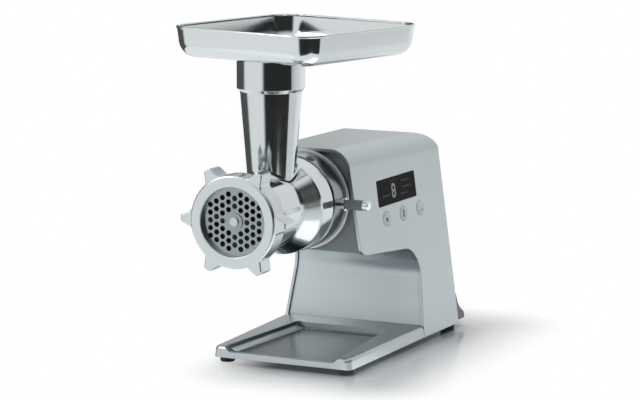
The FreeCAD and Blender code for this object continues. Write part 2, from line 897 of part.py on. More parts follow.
def bearing_radius():
    """Outside of the motor's bearings."""
    return motor_shaft_radius + bearing_wall


def make_motor_bracket(start):
    """End bracket of the motor with a seat for its bearing."""
    return pipe(motor_radius, bearing_radius(), start, start + bracket_thickness)


def make_motor_bearings():
    """Plain bearings in the two brackets."""
    rings = []
    for start in (cover_back, can_back):
        inner = motor_shaft_radius + running_gap
        rings.append(pipe(bearing_radius(), inner, start, start + bracket_thickness))
    return Part.makeCompound(rings)


def make_motor_can():
    """Tube that holds the field magnets."""
    return pipe(motor_radius, motor_radius - motor_wall, can_front, can_back)


def armature_front():
    """Front of the armature's iron core."""
    return can_front + (motor_length - armature_length - commutator_length - commutator_setback) / 2


def make_field_magnets():
    """Two arc magnets on the inside of the can."""
    outer = motor_radius - motor_wall
    inner = armature_radius + magnet_gap
    magnets = []
    for turn in (0, 180):
        outline = [Vector(inner, armature_front(), 0), Vector(outer, armature_front(), 0)]
        outline += [Vector(outer, armature_front() + armature_length, 0)]
        outline += [Vector(inner, armature_front() + armature_length, 0)]
        face = Part.Face(Part.makePolygon(outline + outline[:1]))
        face.rotate(Vector(0, 0, 0), Vector(0, 1, 0), turn - magnet_sweep / 2)
        magnet = face.revolve(Vector(0, 0, 0), Vector(0, 1, 0), magnet_sweep)
        magnet.translate(Vector(0, 0, axis_height))
        magnets.append(magnet)
    return Part.makeCompound(magnets)


def make_armature_core():
    """Slotted iron core on the motor shaft."""
    core = pipe(armature_radius, motor_shaft_radius, armature_front(), armature_front() + armature_length)
    slot = block(armature_radius - slot_depth, armature_radius + slot_depth, 0, housing_back,
                 -slot_width / 2, slot_width / 2)
    for index in range(armature_slots):
        cutter = slot.copy()
        cutter.rotate(Vector(0, 0, 0), Vector(0, 1, 0), 360 * index / armature_slots)
        cutter.translate(Vector(0, 0, axis_height))
        core = core.cut(cutter)
    return core


def commutator_front():
    """Front of the commutator."""
    return armature_front() + armature_length + commutator_setback


def make_commutator():
    """Copper drum that the brushes rub on."""
    start = commutator_front()
    return pipe(commutator_radius, motor_shaft_radius, start, start + commutator_length)


def brush_bar(width, inner, outer, start, side):
    """Square bar standing radially on one side of the commutator."""
    low, high = sorted((side * inner, side * outer))
    return block(low, high, start, start + width, axis_height - width / 2, axis_height + width / 2)


def make_carbon_brushes():
    """Two carbon brushes against the commutator."""
    start = commutator_front() + (commutator_length - brush_width) / 2
    room = rod(motor_radius - motor_wall, start, start + brush_width)
    brushes = []
    for side in (-1, 1):
        bar = brush_bar(brush_width, commutator_radius + brush_gap, motor_radius, start, side)
        brushes.append(bar.common(room))
    return Part.makeCompound(brushes)


def make_brush_holders():
    """Two square guides for the brushes, inside the can."""
    width = brush_width + 2 * holder_wall
    start = commutator_front() + (commutator_length - width) / 2
    inner = commutator_radius + holder_gap
    outer = motor_radius - motor_wall
    holders = []
    for side in (-1, 1):
        guide = brush_bar(width, inner, outer + motor_wall, start, side)
        guide = guide.common(rod(outer, start, start + width))
        hole = brush_bar(brush_width, 0, motor_radius, start + holder_wall, side)
        holders.append(guide.cut(hole))
    return Part.makeCompound(holders)


def fan_back():
    """Back of the cooling fan and of the motor shaft."""
    return bracket_back + fan_space + fan_depth


def make_cooling_fan():
    """Radial fan on the back end of the motor shaft."""
    start = bracket_back + fan_space
    pieces = [rod(fan_hub_radius, start, start + fan_depth)]
    pieces.append(rod(fan_radius, start, start + fan_blade_thickness))
    blade = block(fan_hub_radius - fan_blade_sink, fan_radius, start, start + fan_depth,
                  -fan_blade_thickness / 2, fan_blade_thickness / 2)
    for index in range(fan_blades):
        vane = blade.copy()
        vane.rotate(Vector(0, 0, 0), Vector(0, 1, 0), 360 * index / fan_blades)
        vane.translate(Vector(0, 0, axis_height))
        pieces.append(vane)
    return fused(pieces).cut(rod(motor_shaft_radius, 0, 2 * housing_back))


# Grinder head

def make_grinder_barrel():
    """Cast head: threaded nose, barrel, bell and spigot, with the feed tube standing on it."""
    thread_back = barrel_front + thread_length
    profile = [(0, barrel_front), (thread_radius, barrel_front), (thread_radius, thread_back)]
    profile += [(barrel_radius, thread_back + thread_run_out), (barrel_radius, waist_depth)]
    profile += [(bell_radius, bell_depth), (bell_radius, bell_back)]
    profile += [(spigot_radius, bell_back), (spigot_radius, spigot_back), (0, spigot_back)]
    body = spun(profile, (0, head_edge, 0, 0, bell_round, bell_lip_round, head_edge, 0, spigot_edge, 0))
    body = fused([body, tube_form(0, tray_seat)])
    body = body.makeFillet(tube_foot_round, [edge for edge in body.Edges if is_tube_foot(edge)])
    knife_room = knife_reach + 2 * chamber_gap
    knife_end = knife_back + chamber_gap
    chamber = [(0, barrel_front - cut_spare), (plate_radius + sliding_gap, barrel_front - cut_spare)]
    chamber += [(plate_radius + sliding_gap, plate_back), (knife_room, plate_back)]
    chamber += [(knife_room, knife_end), (barrel_bore, knife_end)]
    chamber += [(barrel_bore, bush_front), (tail_radius + bush_wall, bush_front)]
    chamber += [(tail_radius + bush_wall, bell_back), (spigot_radius - spigot_wall, bell_back)]
    chamber += [(spigot_radius - spigot_wall, spigot_back + cut_spare), (0, spigot_back + cut_spare)]
    body = body.cut(spun(chamber)).cut(tube_form(tube_wall, tray_seat + cut_spare))
    socket = Part.makeCylinder(tray_spigot_radius + loose_gap, spigot_depth + 2 * cut_spare,
                               Vector(0, tube_depth, tray_seat - spigot_depth - cut_spare))
    width = lock_pin_radius + keyway_side_gap
    keyway = block(spigot_radius - lock_tip_depth - keyway_side_gap, collar_radius, lock_depth() - width,
                   spigot_back + cut_spare, axis_height - width, axis_height + width)
    return body.cut(socket).cut(keyway)


def is_tube_foot(edge):
    """True for the edges where the feed tube meets the barrel."""
    box = edge.BoundBox
    inside_tube = max(abs(box.XMin), abs(box.XMax)) < tube_neck_radius
    below_socket = box.ZMax < socket_bottom - socket_chamfer - touch
    return inside_tube and below_socket and box.ZMin > axis_height + touch


def tube_form(inset, top):
    """Conical feed tube with its socket, set in by the wall for its bore."""
    neck = socket_bottom - socket_chamfer
    base = Vector(0, tube_depth, axis_height)
    up = Vector(0, 0, 1)
    cone = Part.makeCone(tube_root_radius - inset, tube_neck_radius - inset, neck - axis_height, base, up)
    if inset:
        throat = Part.makeCylinder(tube_neck_radius - inset, top - neck, Vector(0, tube_depth, neck), up)
        return fused([cone, throat])
    chamfer = Part.makeCone(tube_neck_radius, socket_radius, socket_chamfer, Vector(0, tube_depth, neck), up)
    socket = Part.makeCylinder(socket_radius, top - socket_bottom, Vector(0, tube_depth, socket_bottom), up)
    return fused([cone, chamfer, socket])


def make_barrel_bush():
    """Bush in the head's rear wall that carries the auger."""
    return pipe(tail_radius + bush_wall, tail_radius + running_gap, bush_front, bell_back)


def make_auger():
    """Feed screw: pin, square shank, core with its flight, journal and hexagonal tail."""
    chamber_back = washer_front
    pin = rod(pin_radius, plate_front - pin_proud, knife_front)
    half = shank_width / 2
    shank = block(-half, half, knife_front, knife_back, axis_height - half, axis_height + half)
    core = rod(auger_core, knife_back, chamber_back)
    journal = rod(tail_radius, chamber_back, bell_back)
    tail = hexagon(hex_flats, bell_back, socket_drive_front + socket_drive_depth - hex_end_gap)
    return fused([core, pin, shank, journal, tail, auger_flight()])


def auger_flight():
    """Helical flight on the auger's core."""
    start = knife_back + flight_end_gap
    length = washer_front - flight_end_gap - start
    path = Part.makeHelix(auger_pitch, length, auger_core)
    inner = auger_core - flight_sink
    corners = [Vector(inner, 0, -flight_root / 2), Vector(auger_radius, 0, -flight_tip / 2)]
    corners += [Vector(auger_radius, 0, flight_tip / 2), Vector(inner, 0, flight_root / 2)]
    section = Part.makePolygon(corners + corners[:1])
    flight = Part.Wire(path).makePipeShell([section], True, True)
    flight.rotate(Vector(0, 0, 0), Vector(1, 0, 0), -90)
    flight.translate(Vector(0, start, axis_height))
    return flight


def make_thrust_washer():
    """Washer between the auger and the head's rear wall."""
    return pipe(washer_radius, tail_radius, washer_front, washer_front + washer_thickness)


def make_knife():
    """Cross-shaped knife on the auger's square shank."""
    pieces = [rod(knife_hub_radius, knife_front, knife_back)]
    half = knife_arm_width / 2
    for index in range(knife_arms):
        tip = knife_reach - knife_tip_gap
        corners = [(0, axis_height - half), (tip, axis_height - half)]
        corners += [(tip, axis_height), (0, axis_height + half)]
        arm = prism_y(corners, (0, knife_tip_round, 0, 0), knife_front, knife_back)
        arm.rotate(Vector(0, 0, axis_height), Vector(0, 1, 0), 360 * index / knife_arms)
        pieces.append(arm)
    square = shank_width / 2
    hole = block(-square, square, 0, housing_back, axis_height - square, axis_height + square)
    return fused(pieces).cut(hole)


def plate_holes():
    """(x, height) centres of the plate's holes, column by column, leaving room for the boss."""
    centres = []
    middle = (len(plate_columns) - 1) / 2
    for column, count in enumerate(plate_columns):
        x = (column - middle) * plate_hole_pitch * math.sqrt(3) / 2
        for row in range(count):
            z = (row - (count - 1) / 2) * plate_hole_pitch
            if math.hypot(x, z) > plate_boss_radius + plate_hole_radius:
                centres.append((x, axis_height + z))
    return centres


def make_grinding_plate():
    """Perforated disc with a bored boss for the auger's pin."""
    disc = rod(plate_radius, plate_front, plate_back)
    boss = rod(plate_boss_radius, plate_front - plate_boss_height, plate_back)
    holes = [rod(plate_hole_radius, 0, 2 * plate_back, x, z) for x, z in plate_holes()]
    holes.append(rod(pin_radius + running_gap, 0, 2 * plate_back))
    return fused([disc, boss]).cut(Part.makeCompound(holes))


def make_ring_nut():
    """Ring nut with its gripping lugs."""
    profile = [(opening_radius, 0), (ring_radius, 0), (ring_radius, ring_length), (ring_bore, ring_length)]
    profile += [(ring_bore, plate_front), (opening_radius, plate_front)]
    ring = spun(profile, (ring_inner_edge, ring_edge, ring_inner_edge, 0, 0, 0))
    return fused([ring, lug_star().cut(rod((ring_bore + ring_radius) / 2, 0, ring_length))])


def lug_star():
    """All the lugs as one soft-edged star round the ring."""
    tip = ring_radius + lug_reach
    lug = [(ring_radius, -lug_root_width / 2), (tip, -lug_tip_width / 2)]
    lug += [(tip, lug_tip_width / 2), (ring_radius, lug_root_width / 2)]
    corners = []
    for index in range(lug_count):
        angle = math.radians(360 * index / lug_count - lug_turn)
        for x, z in lug:
            corners.append((x * math.cos(angle) - z * math.sin(angle),
                            axis_height + x * math.sin(angle) + z * math.cos(angle)))
    radii = (lug_root_round, lug_tip_round, lug_tip_round, lug_root_round) * lug_count
    star = prism_y(corners, radii, lug_end_inset, ring_length - lug_end_inset)
    rims = [edge for edge in star.Edges if edge.BoundBox.YLength < touch]
    return star.makeFillet(lug_edge, rims)


# Food tray

def tray_outline(inset, height):
    """Rounded square of the tray at a height, set in by inset."""
    half_x = tray_width / 2 - inset
    half_y = tray_length / 2 - inset
    middle = tube_depth + tray_offset
    corners = [Vector(x * half_x, middle + y * half_y, height) for x, y in quarters]
    return rounded(corners, [tray_corner - inset] * 4)


def tray_form(wall, low, high):
    """Tapered pan between two heights, set in by a wall, with its bottom edge rounded."""
    sections = [tray_outline(tray_taper + wall, low), tray_outline(wall, high)]
    form = Part.makeLoft(sections, True, True)
    bottom = [edge for edge in form.Edges if edge.BoundBox.ZMax < low + touch]
    return form.makeFillet(tray_edge - wall, bottom)


def make_food_tray():
    """Pressed tray with a short spigot that stands in the feed tube."""
    rim = tray_seat + tray_height
    pan = tray_form(0, tray_seat, rim).cut(tray_form(tray_wall, tray_seat + tray_wall, rim + tray_wall))
    foot = Vector(0, tube_depth, tray_seat - spigot_depth)
    spigot = Part.makeCylinder(tray_spigot_radius, spigot_depth + tray_wall / 2, foot)
    bore = Part.makeCylinder(tray_spigot_radius - tray_wall, spigot_depth + 2 * tray_wall, foot)
    tray = fused([pan, spigot]).cut(bore)
    tray.rotate(Vector(0, tube_depth, 0), Vector(0, 0, 1), tray_turn)
    return tray


pieces = {
    "base_frame": make_base_frame(),
    "rubber_feet": make_rubber_feet(),
    "drip_plate": make_drip_plate(),
    "main_shell": make_main_shell(),
    "front_fascia": make_front_fascia(),
    "column_panel": make_column_panel(),
    "back_cover": make_back_cover(),
    "cord_inlet": make_cord_inlet(),
    "socket_collar": make_socket_collar(),
    "trim_ring": make_trim_ring(),
    "lock_bush": make_lock_bush(),
    "lock_pin": make_lock_pin(),
    "lock_grip": make_lock_grip(),
    "lock_cap": make_lock_cap(),
    "display_window": make_display_window(),
    "display_panel": make_display_panel(),
    "control_board": make_control_board(),
    "board_spacers": make_board_spacers(),
    "button_front": make_button(0),
    "button_middle": make_button(1),
    "button_rear": make_button(2),
    "gearbox_case": make_gearbox_case(),
    "gearbox_cover": make_gearbox_cover(),
    "output_bush": make_output_bush(),
    "output_gear": make_output_gear(),
    "drive_socket": make_drive_socket(),
    "lay_axle": make_lay_axle(),
    "lay_gear": make_lay_gear(),
    "motor_front_bracket": make_motor_bracket(cover_back),
    "motor_rear_bracket": make_motor_bracket(can_back),
    "motor_bearings": make_motor_bearings(),
    "motor_can": make_motor_can(),
    "field_magnets": make_field_magnets(),
    "armature_shaft": make_armature_shaft(),
    "armature_core": make_armature_core(),
    "commutator": make_commutator(),
    "carbon_brushes": make_carbon_brushes(),
    "brush_holders": make_brush_holders(),
    "cooling_fan": make_cooling_fan(),
    "grinder_barrel": make_grinder_barrel(),
    "barrel_bush": make_barrel_bush(),
    "auger": make_auger(),
    "thrust_washer": make_thrust_washer(),
    "knife": make_knife(),
    "grinding_plate": make_grinding_plate(),
    "ring_nut": make_ring_nut(),
    "food_tray": make_food_tray(),
}

os.makedirs("parts", exist_ok=True)
for name, shape in pieces.items():
    shape.translate(origin_shift)
    shape.exportStep("parts/" + name + ".step")
    print(name, len(shape.Solids), round(shape.Volume), shape.isValid())
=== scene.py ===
import bpy
import bmesh
import json
import math
from mathutils import Matrix, Vector


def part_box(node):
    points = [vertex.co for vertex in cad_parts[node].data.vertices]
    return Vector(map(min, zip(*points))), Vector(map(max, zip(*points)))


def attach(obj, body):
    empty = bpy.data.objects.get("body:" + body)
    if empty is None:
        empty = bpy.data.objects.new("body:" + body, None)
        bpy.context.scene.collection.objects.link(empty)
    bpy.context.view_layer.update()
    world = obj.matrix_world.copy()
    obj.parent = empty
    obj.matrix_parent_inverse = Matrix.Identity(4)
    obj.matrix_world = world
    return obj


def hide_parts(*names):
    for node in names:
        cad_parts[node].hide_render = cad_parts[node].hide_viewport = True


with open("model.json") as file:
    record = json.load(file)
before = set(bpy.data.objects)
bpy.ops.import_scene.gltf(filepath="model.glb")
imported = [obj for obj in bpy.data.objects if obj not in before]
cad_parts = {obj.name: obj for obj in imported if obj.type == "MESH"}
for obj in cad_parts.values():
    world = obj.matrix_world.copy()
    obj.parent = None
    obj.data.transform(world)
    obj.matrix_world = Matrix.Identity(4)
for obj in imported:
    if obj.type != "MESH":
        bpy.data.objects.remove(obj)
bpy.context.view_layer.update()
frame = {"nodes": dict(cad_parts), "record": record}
scene = bpy.context.scene
print("frame loaded:", len(frame["nodes"]), "nodes")

# lengths are in metres and angles in degrees, unless a note says otherwise


# node helpers

def feed(tree, socket, value):
    # a link where the value comes from another node, else the socket's own value
    if isinstance(value, bpy.types.NodeSocket):
        tree.links.new(value, socket)
    else:
        socket.default_value = value


def feedAll(tree, node, inputs):
    for key, value in inputs.items():
        feed(tree, node.inputs[key], value)


def addNode(tree, kind, inputs=None, **settings):
    node = tree.nodes.new("ShaderNode" + kind)
    for key, value in settings.items():
        setattr(node, key, value)
    feedAll(tree, node, inputs or {})
    return node


def mathNode(tree, operation, first, second=0.0, clamp=False):
    return addNode(tree, "Math", {0: first, 1: second}, operation=operation, use_clamp=clamp).outputs[0]


def vectorNode(tree, operation, first, second):
    return addNode(tree, "VectorMath", {0: first, 1: second}, operation=operation).outputs


def noiseNode(tree, place, scale, detail, rough=0.5):
    inputs = {"Vector": place, "Scale": scale, "Detail": detail, "Roughness": rough}
    return addNode(tree, "TexNoise", inputs).outputs


def rangeNode(tree, value, fromLow, fromHigh, toLow=0.0, toHigh=1.0, kind="LINEAR"):
    inputs = {"Value": value, "From Min": fromLow, "From Max": fromHigh, "To Min": toLow, "To Max": toHigh}
    return addNode(tree, "MapRange", inputs, interpolation_type=kind).outputs[0]


def plusShare(tree, value, mask, share):
    # the value and a share of a mask
    return mathNode(tree, "ADD", value, mathNode(tree, "MULTIPLY", mask, share))


def distanceNode(tree, first, second):
    squares = [mathNode(tree, "MULTIPLY", value, value) for value in (first, second)]
    return mathNode(tree, "SQRT", mathNode(tree, "ADD", *squares))


def bandNode(tree, value, edges):
    # 1 between the middle two edges, falling softly to 0 at the outer two
    rising = rangeNode(tree, value, edges[0], edges[1], kind="SMOOTHSTEP")
    falling = rangeNode(tree, value, edges[3], edges[2], kind="SMOOTHSTEP")
    return mathNode(tree, "MULTIPLY", rising, falling)


def mixColour(tree, factor, first, second):
    node = addNode(tree, "Mix", {0: factor}, data_type="RGBA")
    for index, value in ((6, first), (7, second)):  # the node's two colour inputs
        linked = isinstance(value, bpy.types.NodeSocket)
        feed(tree, node.inputs[index], value if linked else (*value, 1.0))
    return node.outputs[2]  # its colour output


def newGroup(name, takes, gives):
    tree = bpy.data.node_groups.new(name, "ShaderNodeTree")
    for label, kind, value in takes:
        socket = tree.interface.new_socket(name=label, in_out="INPUT", socket_type="NodeSocket" + kind)
        socket.default_value = value
    for label in gives:
        tree.interface.new_socket(name=label, in_out="OUTPUT", socket_type="NodeSocketFloat")
    return tree, tree.nodes.new("NodeGroupInput").outputs, tree.nodes.new("NodeGroupOutput").inputs


# parallel scratches: the place is stretched along the stroke before the noise reads it
scratches = {"fineScale": 1.0, "fineRough": 0.65, "wideScale": 0.13, "wideRough": 0.5}


def makeBrushing():
    takes = [("Place", "Vector", (0, 0, 0)), ("Stretch", "Vector", (1, 1, 1))]
    tree, start, end = newGroup("brushing", takes, ("Scratch", "Streak"))
    stretched = vectorNode(tree, "MULTIPLY", start["Place"], start["Stretch"])[0]
    fine = noiseNode(tree, stretched, scratches["fineScale"], 3.0, scratches["fineRough"])
    wide = noiseNode(tree, stretched, scratches["wideScale"], 2.0, scratches["wideRough"])
    tree.links.new(fine[0], end["Scratch"])
    tree.links.new(wide[0], end["Streak"])
    return tree


# pebbled skin of a casting or a moulding, with slow patches under it; grain and patch are per metre
pebbles = {"grain": 900.0, "grainRough": 0.6, "patch": 30.0, "patchRough": 0.55}


def makeCastSkin():
    takes = [("Place", "Vector", (0, 0, 0)), ("Grain", "Float", pebbles["grain"]),
             ("Patch", "Float", pebbles["patch"])]
    tree, start, end = newGroup("castSkin", takes, ("Pebble", "Patches"))
    pebble = noiseNode(tree, start["Place"], start["Grain"], 3.0, pebbles["grainRough"])
    patches = noiseNode(tree, start["Place"], start["Patch"], 3.0, pebbles["patchRough"])
    tree.links.new(pebble[0], end["Pebble"])
    tree.links.new(patches[0], end["Patches"])
    return tree


# faint smears left by wiping and handling: a bent noise, of which the higher values show
smears = {"scale": 14.0, "rough": 0.6, "bendScale": 9.0, "bend": 0.05, "showFrom": 0.42, "showFull": 0.72}


def makeHandling():
    takes = [("Place", "Vector", (0, 0, 0)), ("Scale", "Float", smears["scale"]), ("Amount", "Float", 0.5)]
    tree, start, end = newGroup("handling", takes, ("Smear",))
    bent = noiseNode(tree, start["Place"], smears["bendScale"], 2.0)
    shift = vectorNode(tree, "MULTIPLY", bent[1], [smears["bend"]] * 3)[0]
    place = vectorNode(tree, "ADD", start["Place"], shift)[0]
    smear = noiseNode(tree, place, start["Scale"], 5.0, smears["rough"])
    lifted = rangeNode(tree, smear[0], smears["showFrom"], smears["showFull"])
    tree.links.new(mathNode(tree, "MULTIPLY", lifted, start["Amount"]), end["Smear"])
    return tree


# edges rubbed bright, as wear and as a painted highlight: where a rounded normal leaves the true one, as
# cosines between the two
rubbedEdgeAndHighlight = {"reach": 0.0006, "from": 0.99, "full": 0.80}


def makeEdgeRubAndHighlight():
    tree, start, end = newGroup("edgeRubAndHighlight", [("Reach", "Float", rubbedEdgeAndHighlight["reach"])], ("Edge",))
    soft = addNode(tree, "Bevel", {"Radius": start["Reach"]}, samples=4)
    flat = addNode(tree, "NewGeometry")
    same = vectorNode(tree, "DOT_PRODUCT", soft.outputs[0], flat.outputs["Normal"])["Value"]
    tree.links.new(rangeNode(tree, same, rubbedEdgeAndHighlight["from"], rubbedEdgeAndHighlight["full"]), end["Edge"])
    return tree


# how far a place is shut in by what stands round it: 1 in the open, less in corners; used to paint shade
# into a colour
paintedNookShade = {"reach": 0.05, "deepest": 0.7, "shut": 0.15, "open": 0.95}


def makePaintedNookShade():
    takes = [("Reach", "Float", paintedNookShade["reach"]), ("Deepest", "Float", paintedNookShade["deepest"])]
    tree, start, end = newGroup("paintedNookShade", takes, ("Open",))
    near = addNode(tree, "AmbientOcclusion", {"Distance": start["Reach"]}, samples=6).outputs["AO"]
    tree.links.new(rangeNode(tree, near, paintedNookShade["shut"], paintedNookShade["open"], start["Deepest"], 1.0), end["Open"])
    return tree


effects = {
    "paintedNookShade": makePaintedNookShade(),
    "brushing": makeBrushing(),
    "castSkin": makeCastSkin(),
    "handling": makeHandling(),
    "edgeRubAndHighlight": makeEdgeRubAndHighlight(),
}
print("effects:", ", ".join(effects))


def useEffect(tree, name, **inputs):
    return addNode(tree, "Group", inputs, node_tree=effects[name]).outputs


# finish helpers

noiseSpan = (0.3, 0.7)  # where most values of a noise lie


def newMaterial(name):
    material = bpy.data.materials.new(name)
    material.use_nodes = True
    tree = material.node_tree
    tree.nodes.clear()
    out = addNode(tree, "OutputMaterial")
    shader = addNode(tree, "BsdfPrincipled")
    tree.links.new(shader.outputs[0], out.inputs[0])
    place = addNode(tree, "TexCoord").outputs["Object"]
    return material, tree, shader, place


def softBump(tree, height, strength, depth, soft=0.0006):
    # bump laid over a normal that is rounded at the edges
    normal = addNode(tree, "Bevel", {"Radius": soft}, samples=4).outputs[0]
    inputs = {"Height": height, "Strength": strength, "Distance": depth, "Normal": normal}
    return addNode(tree, "Bump", inputs).outputs[0]


def roughNode(tree, noise, rough, swing):
    # roughness that swings about its middle value with a noise
    return rangeNode(tree, noise, *noiseSpan, rough * (1 - swing), rough * (1 + swing))


def shades(colour, spread):
    # a darker and a lighter neighbour of a colour
    dark = [channel * (1 - spread) for channel in colour]
    light = [min(1.0, channel * (1 + spread)) for channel in colour]
    return dark, light


def lighter(colour, times, plus=0.0):
    return [min(1.0, channel * times + plus) for channel in colour]


# brushed or ground sheet: fine scratches, wide streaks and smears, with painted shade in corners
brushed = {"scratch": 0.82, "streak": 0.18, "handled": 0.5, "smear": 0.05, "swing": 0.18, "bump": 0.35,
           "paintedShadeColour": (0.02, 0.024, 0.026)}


def brushedMetal(name, colour, rough, stroke, spread=0.08, depth=0.00004, deepest=0.93, reach=0.05, rim=1.0):
    # stroke: lines per metre along x, y and z, few along the brushing and many across it
    # rim: how much of the light a flat glance keeps
    material, tree, shader, place = newMaterial(name)
    lines = useEffect(tree, "brushing", Place=place, Stretch=stroke)
    smear = useEffect(tree, "handling", Place=place, Amount=brushed["handled"])["Smear"]
    scratch = mathNode(tree, "MULTIPLY", lines["Scratch"], brushed["scratch"])
    tone = plusShare(tree, scratch, lines["Streak"], brushed["streak"])
    body = mixColour(tree, tone, *shades(colour, spread))
    # painted shade: where the place is shut in, the colour is mixed towards a near-black shade colour
    shut = mathNode(tree, "SUBTRACT", 1.0, useEffect(tree, "paintedNookShade", Deepest=deepest, Reach=reach)["Open"])
    streaky = roughNode(tree, tone, rough, brushed["swing"])
    feedAll(tree, shader, {
        "Base Color": mixColour(tree, shut, body, brushed["paintedShadeColour"]),
        "Roughness": plusShare(tree, streaky, smear, brushed["smear"]),
        "Normal": softBump(tree, tone, brushed["bump"], depth),
        "Metallic": 1.0,
        "Specular Tint": (rim, rim, rim, 1.0),
    })
    return material


# bare, blasted or polished casting: pebbled skin, slow patches, and rubbed edges that also carry a painted
# highlight
casting = {"handled": 0.6, "smear": 0.06, "swing": 0.15, "rubLight": 1.15, "rubSmooth": 0.3}


def castMetal(name, colour, rough, grain=900.0, depth=0.00006, strength=0.3, spread=0.06, rub=0.35):
    material, tree, shader, place = newMaterial(name)
    skin = useEffect(tree, "castSkin", Place=place, Grain=grain)
    smear = useEffect(tree, "handling", Place=place, Amount=casting["handled"])["Smear"]
    # wear and painted highlight: edges get a lighter colour and a lower roughness
    wornAndHighlit = mathNode(tree, "MULTIPLY", useEffect(tree, "edgeRubAndHighlight")["Edge"], rub)
    body = mixColour(tree, skin["Patches"], *shades(colour, spread))
    patchy = roughNode(tree, skin["Patches"], rough, casting["swing"])
    smeared = plusShare(tree, patchy, smear, casting["smear"])
    feedAll(tree, shader, {
        "Base Color": mixColour(tree, wornAndHighlit, body, lighter(colour, casting["rubLight"])),
        "Roughness": plusShare(tree, smeared, wornAndHighlit, -rough * casting["rubSmooth"]),
        "Normal": softBump(tree, skin["Pebble"], strength, depth),
        "Metallic": 1.0,
    })
    return material


# axis along y of the auger, the collar and the gear train, as x and z, from the plate's own box
plateLow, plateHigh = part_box("grinding_plate")
augerAxis = ((plateLow.x + plateHigh.x) / 2, (plateLow.z + plateHigh.z) / 2)

# lathe-turned or rotary-polished metal: fine rings about the auger's axis, counted per metre
turning = {"rings": 2600.0, "spread": 0.06, "handled": 0.5, "smear": 0.05, "swing": 0.2, "bump": 0.12,
           "groove": 0.00003}


def turnedMetal(name, colour, rough):
    material, tree, shader, place = newMaterial(name)
    toAxis = (-augerAxis[0], 0, -augerAxis[1])
    centred = addNode(tree, "Mapping", {"Vector": place, "Location": toAxis}).outputs[0]
    parts = addNode(tree, "SeparateXYZ", {0: centred}).outputs
    across = addNode(tree, "CombineXYZ", {0: distanceNode(tree, parts[0], parts[2]), 1: parts[1]}).outputs[0]
    ring = noiseNode(tree, across, turning["rings"], 2.0)[0]
    smear = useEffect(tree, "handling", Place=place, Amount=turning["handled"])["Smear"]
    grooved = roughNode(tree, ring, rough, turning["swing"])
    bump = {"Height": ring, "Strength": turning["bump"], "Distance": turning["groove"]}
    feedAll(tree, shader, {
        "Base Color": mixColour(tree, ring, *shades(colour, turning["spread"])),
        "Roughness": plusShare(tree, grooved, smear, turning["smear"]),
        "Normal": addNode(tree, "Bump", bump).outputs[0],
        "Metallic": 1.0,
    })
    return material


# moulded plastic or rubber: spark-eroded grain, slow tone changes, edges rubbed a little lighter, as wear
# and as a painted highlight
moulding = {"patch": 22.0, "spread": 0.10, "handled": 0.6, "smear": 0.08, "swing": 0.1, "rubReach": 0.0005,
            "rubLight": 1.5, "rubLift": 0.02}


def moulded(name, colour, rough, grain=1600.0, depth=0.00005, strength=0.25, shine=0.5, rub=0.3):
    material, tree, shader, place = newMaterial(name)
    skin = useEffect(tree, "castSkin", Place=place, Grain=grain, Patch=moulding["patch"])
    smear = useEffect(tree, "handling", Place=place, Amount=moulding["handled"])["Smear"]
    # wear and painted highlight: edges get a lighter colour
    edge = useEffect(tree, "edgeRubAndHighlight", Reach=moulding["rubReach"])["Edge"]
    body = mixColour(tree, skin["Patches"], *shades(colour, moulding["spread"]))
    bright = lighter(colour, moulding["rubLight"], moulding["rubLift"])
    grainy = roughNode(tree, skin["Pebble"], rough, moulding["swing"])
    feedAll(tree, shader, {
        "Base Color": mixColour(tree, mathNode(tree, "MULTIPLY", edge, rub), body, bright),
        "Roughness": plusShare(tree, grainy, smear, -moulding["smear"]),
        "Normal": softBump(tree, skin["Pebble"], strength, depth),
        "Specular IOR Level": shine,
    })
    return material


# solder-masked laminate with copper runs showing through as paler lines
laminate = {"runs": 120.0, "runGap": 0.03, "weave": 2400.0, "spread": 0.2, "show": 0.6, "rough": 0.36,
            "swing": 1 / 6, "bump": 0.2, "depth": 0.00005}


def boardLaminate(name, colour):
    material, tree, shader, place = newMaterial(name)
    brick = {"Vector": place, "Scale": laminate["runs"], "Mortar Size": laminate["runGap"]}
    runs = addNode(tree, "TexBrick", brick).outputs["Fac"]
    weave = useEffect(tree, "castSkin", Place=place, Grain=laminate["weave"])["Pebble"]
    tone = mathNode(tree, "MULTIPLY", mathNode(tree, "ADD", runs, weave), laminate["show"], True)
    bump = {"Height": runs, "Strength": laminate["bump"], "Distance": laminate["depth"]}
    feedAll(tree, shader, {
        "Base Color": mixColour(tree, tone, *shades(colour, laminate["spread"])),
        "Roughness": roughNode(tree, weave, laminate["rough"], laminate["swing"]),
        "Normal": addNode(tree, "Bump", bump).outputs[0],
    })
    return material


# strokes of the brushing: front to back, side to side, and the edges of stacked sheets
frontToBack = (1500.0, 22.0, 1500.0)
sideToSide = (22.0, 1500.0, 1500.0)
stacked = (40.0, 2200.0, 40.0)

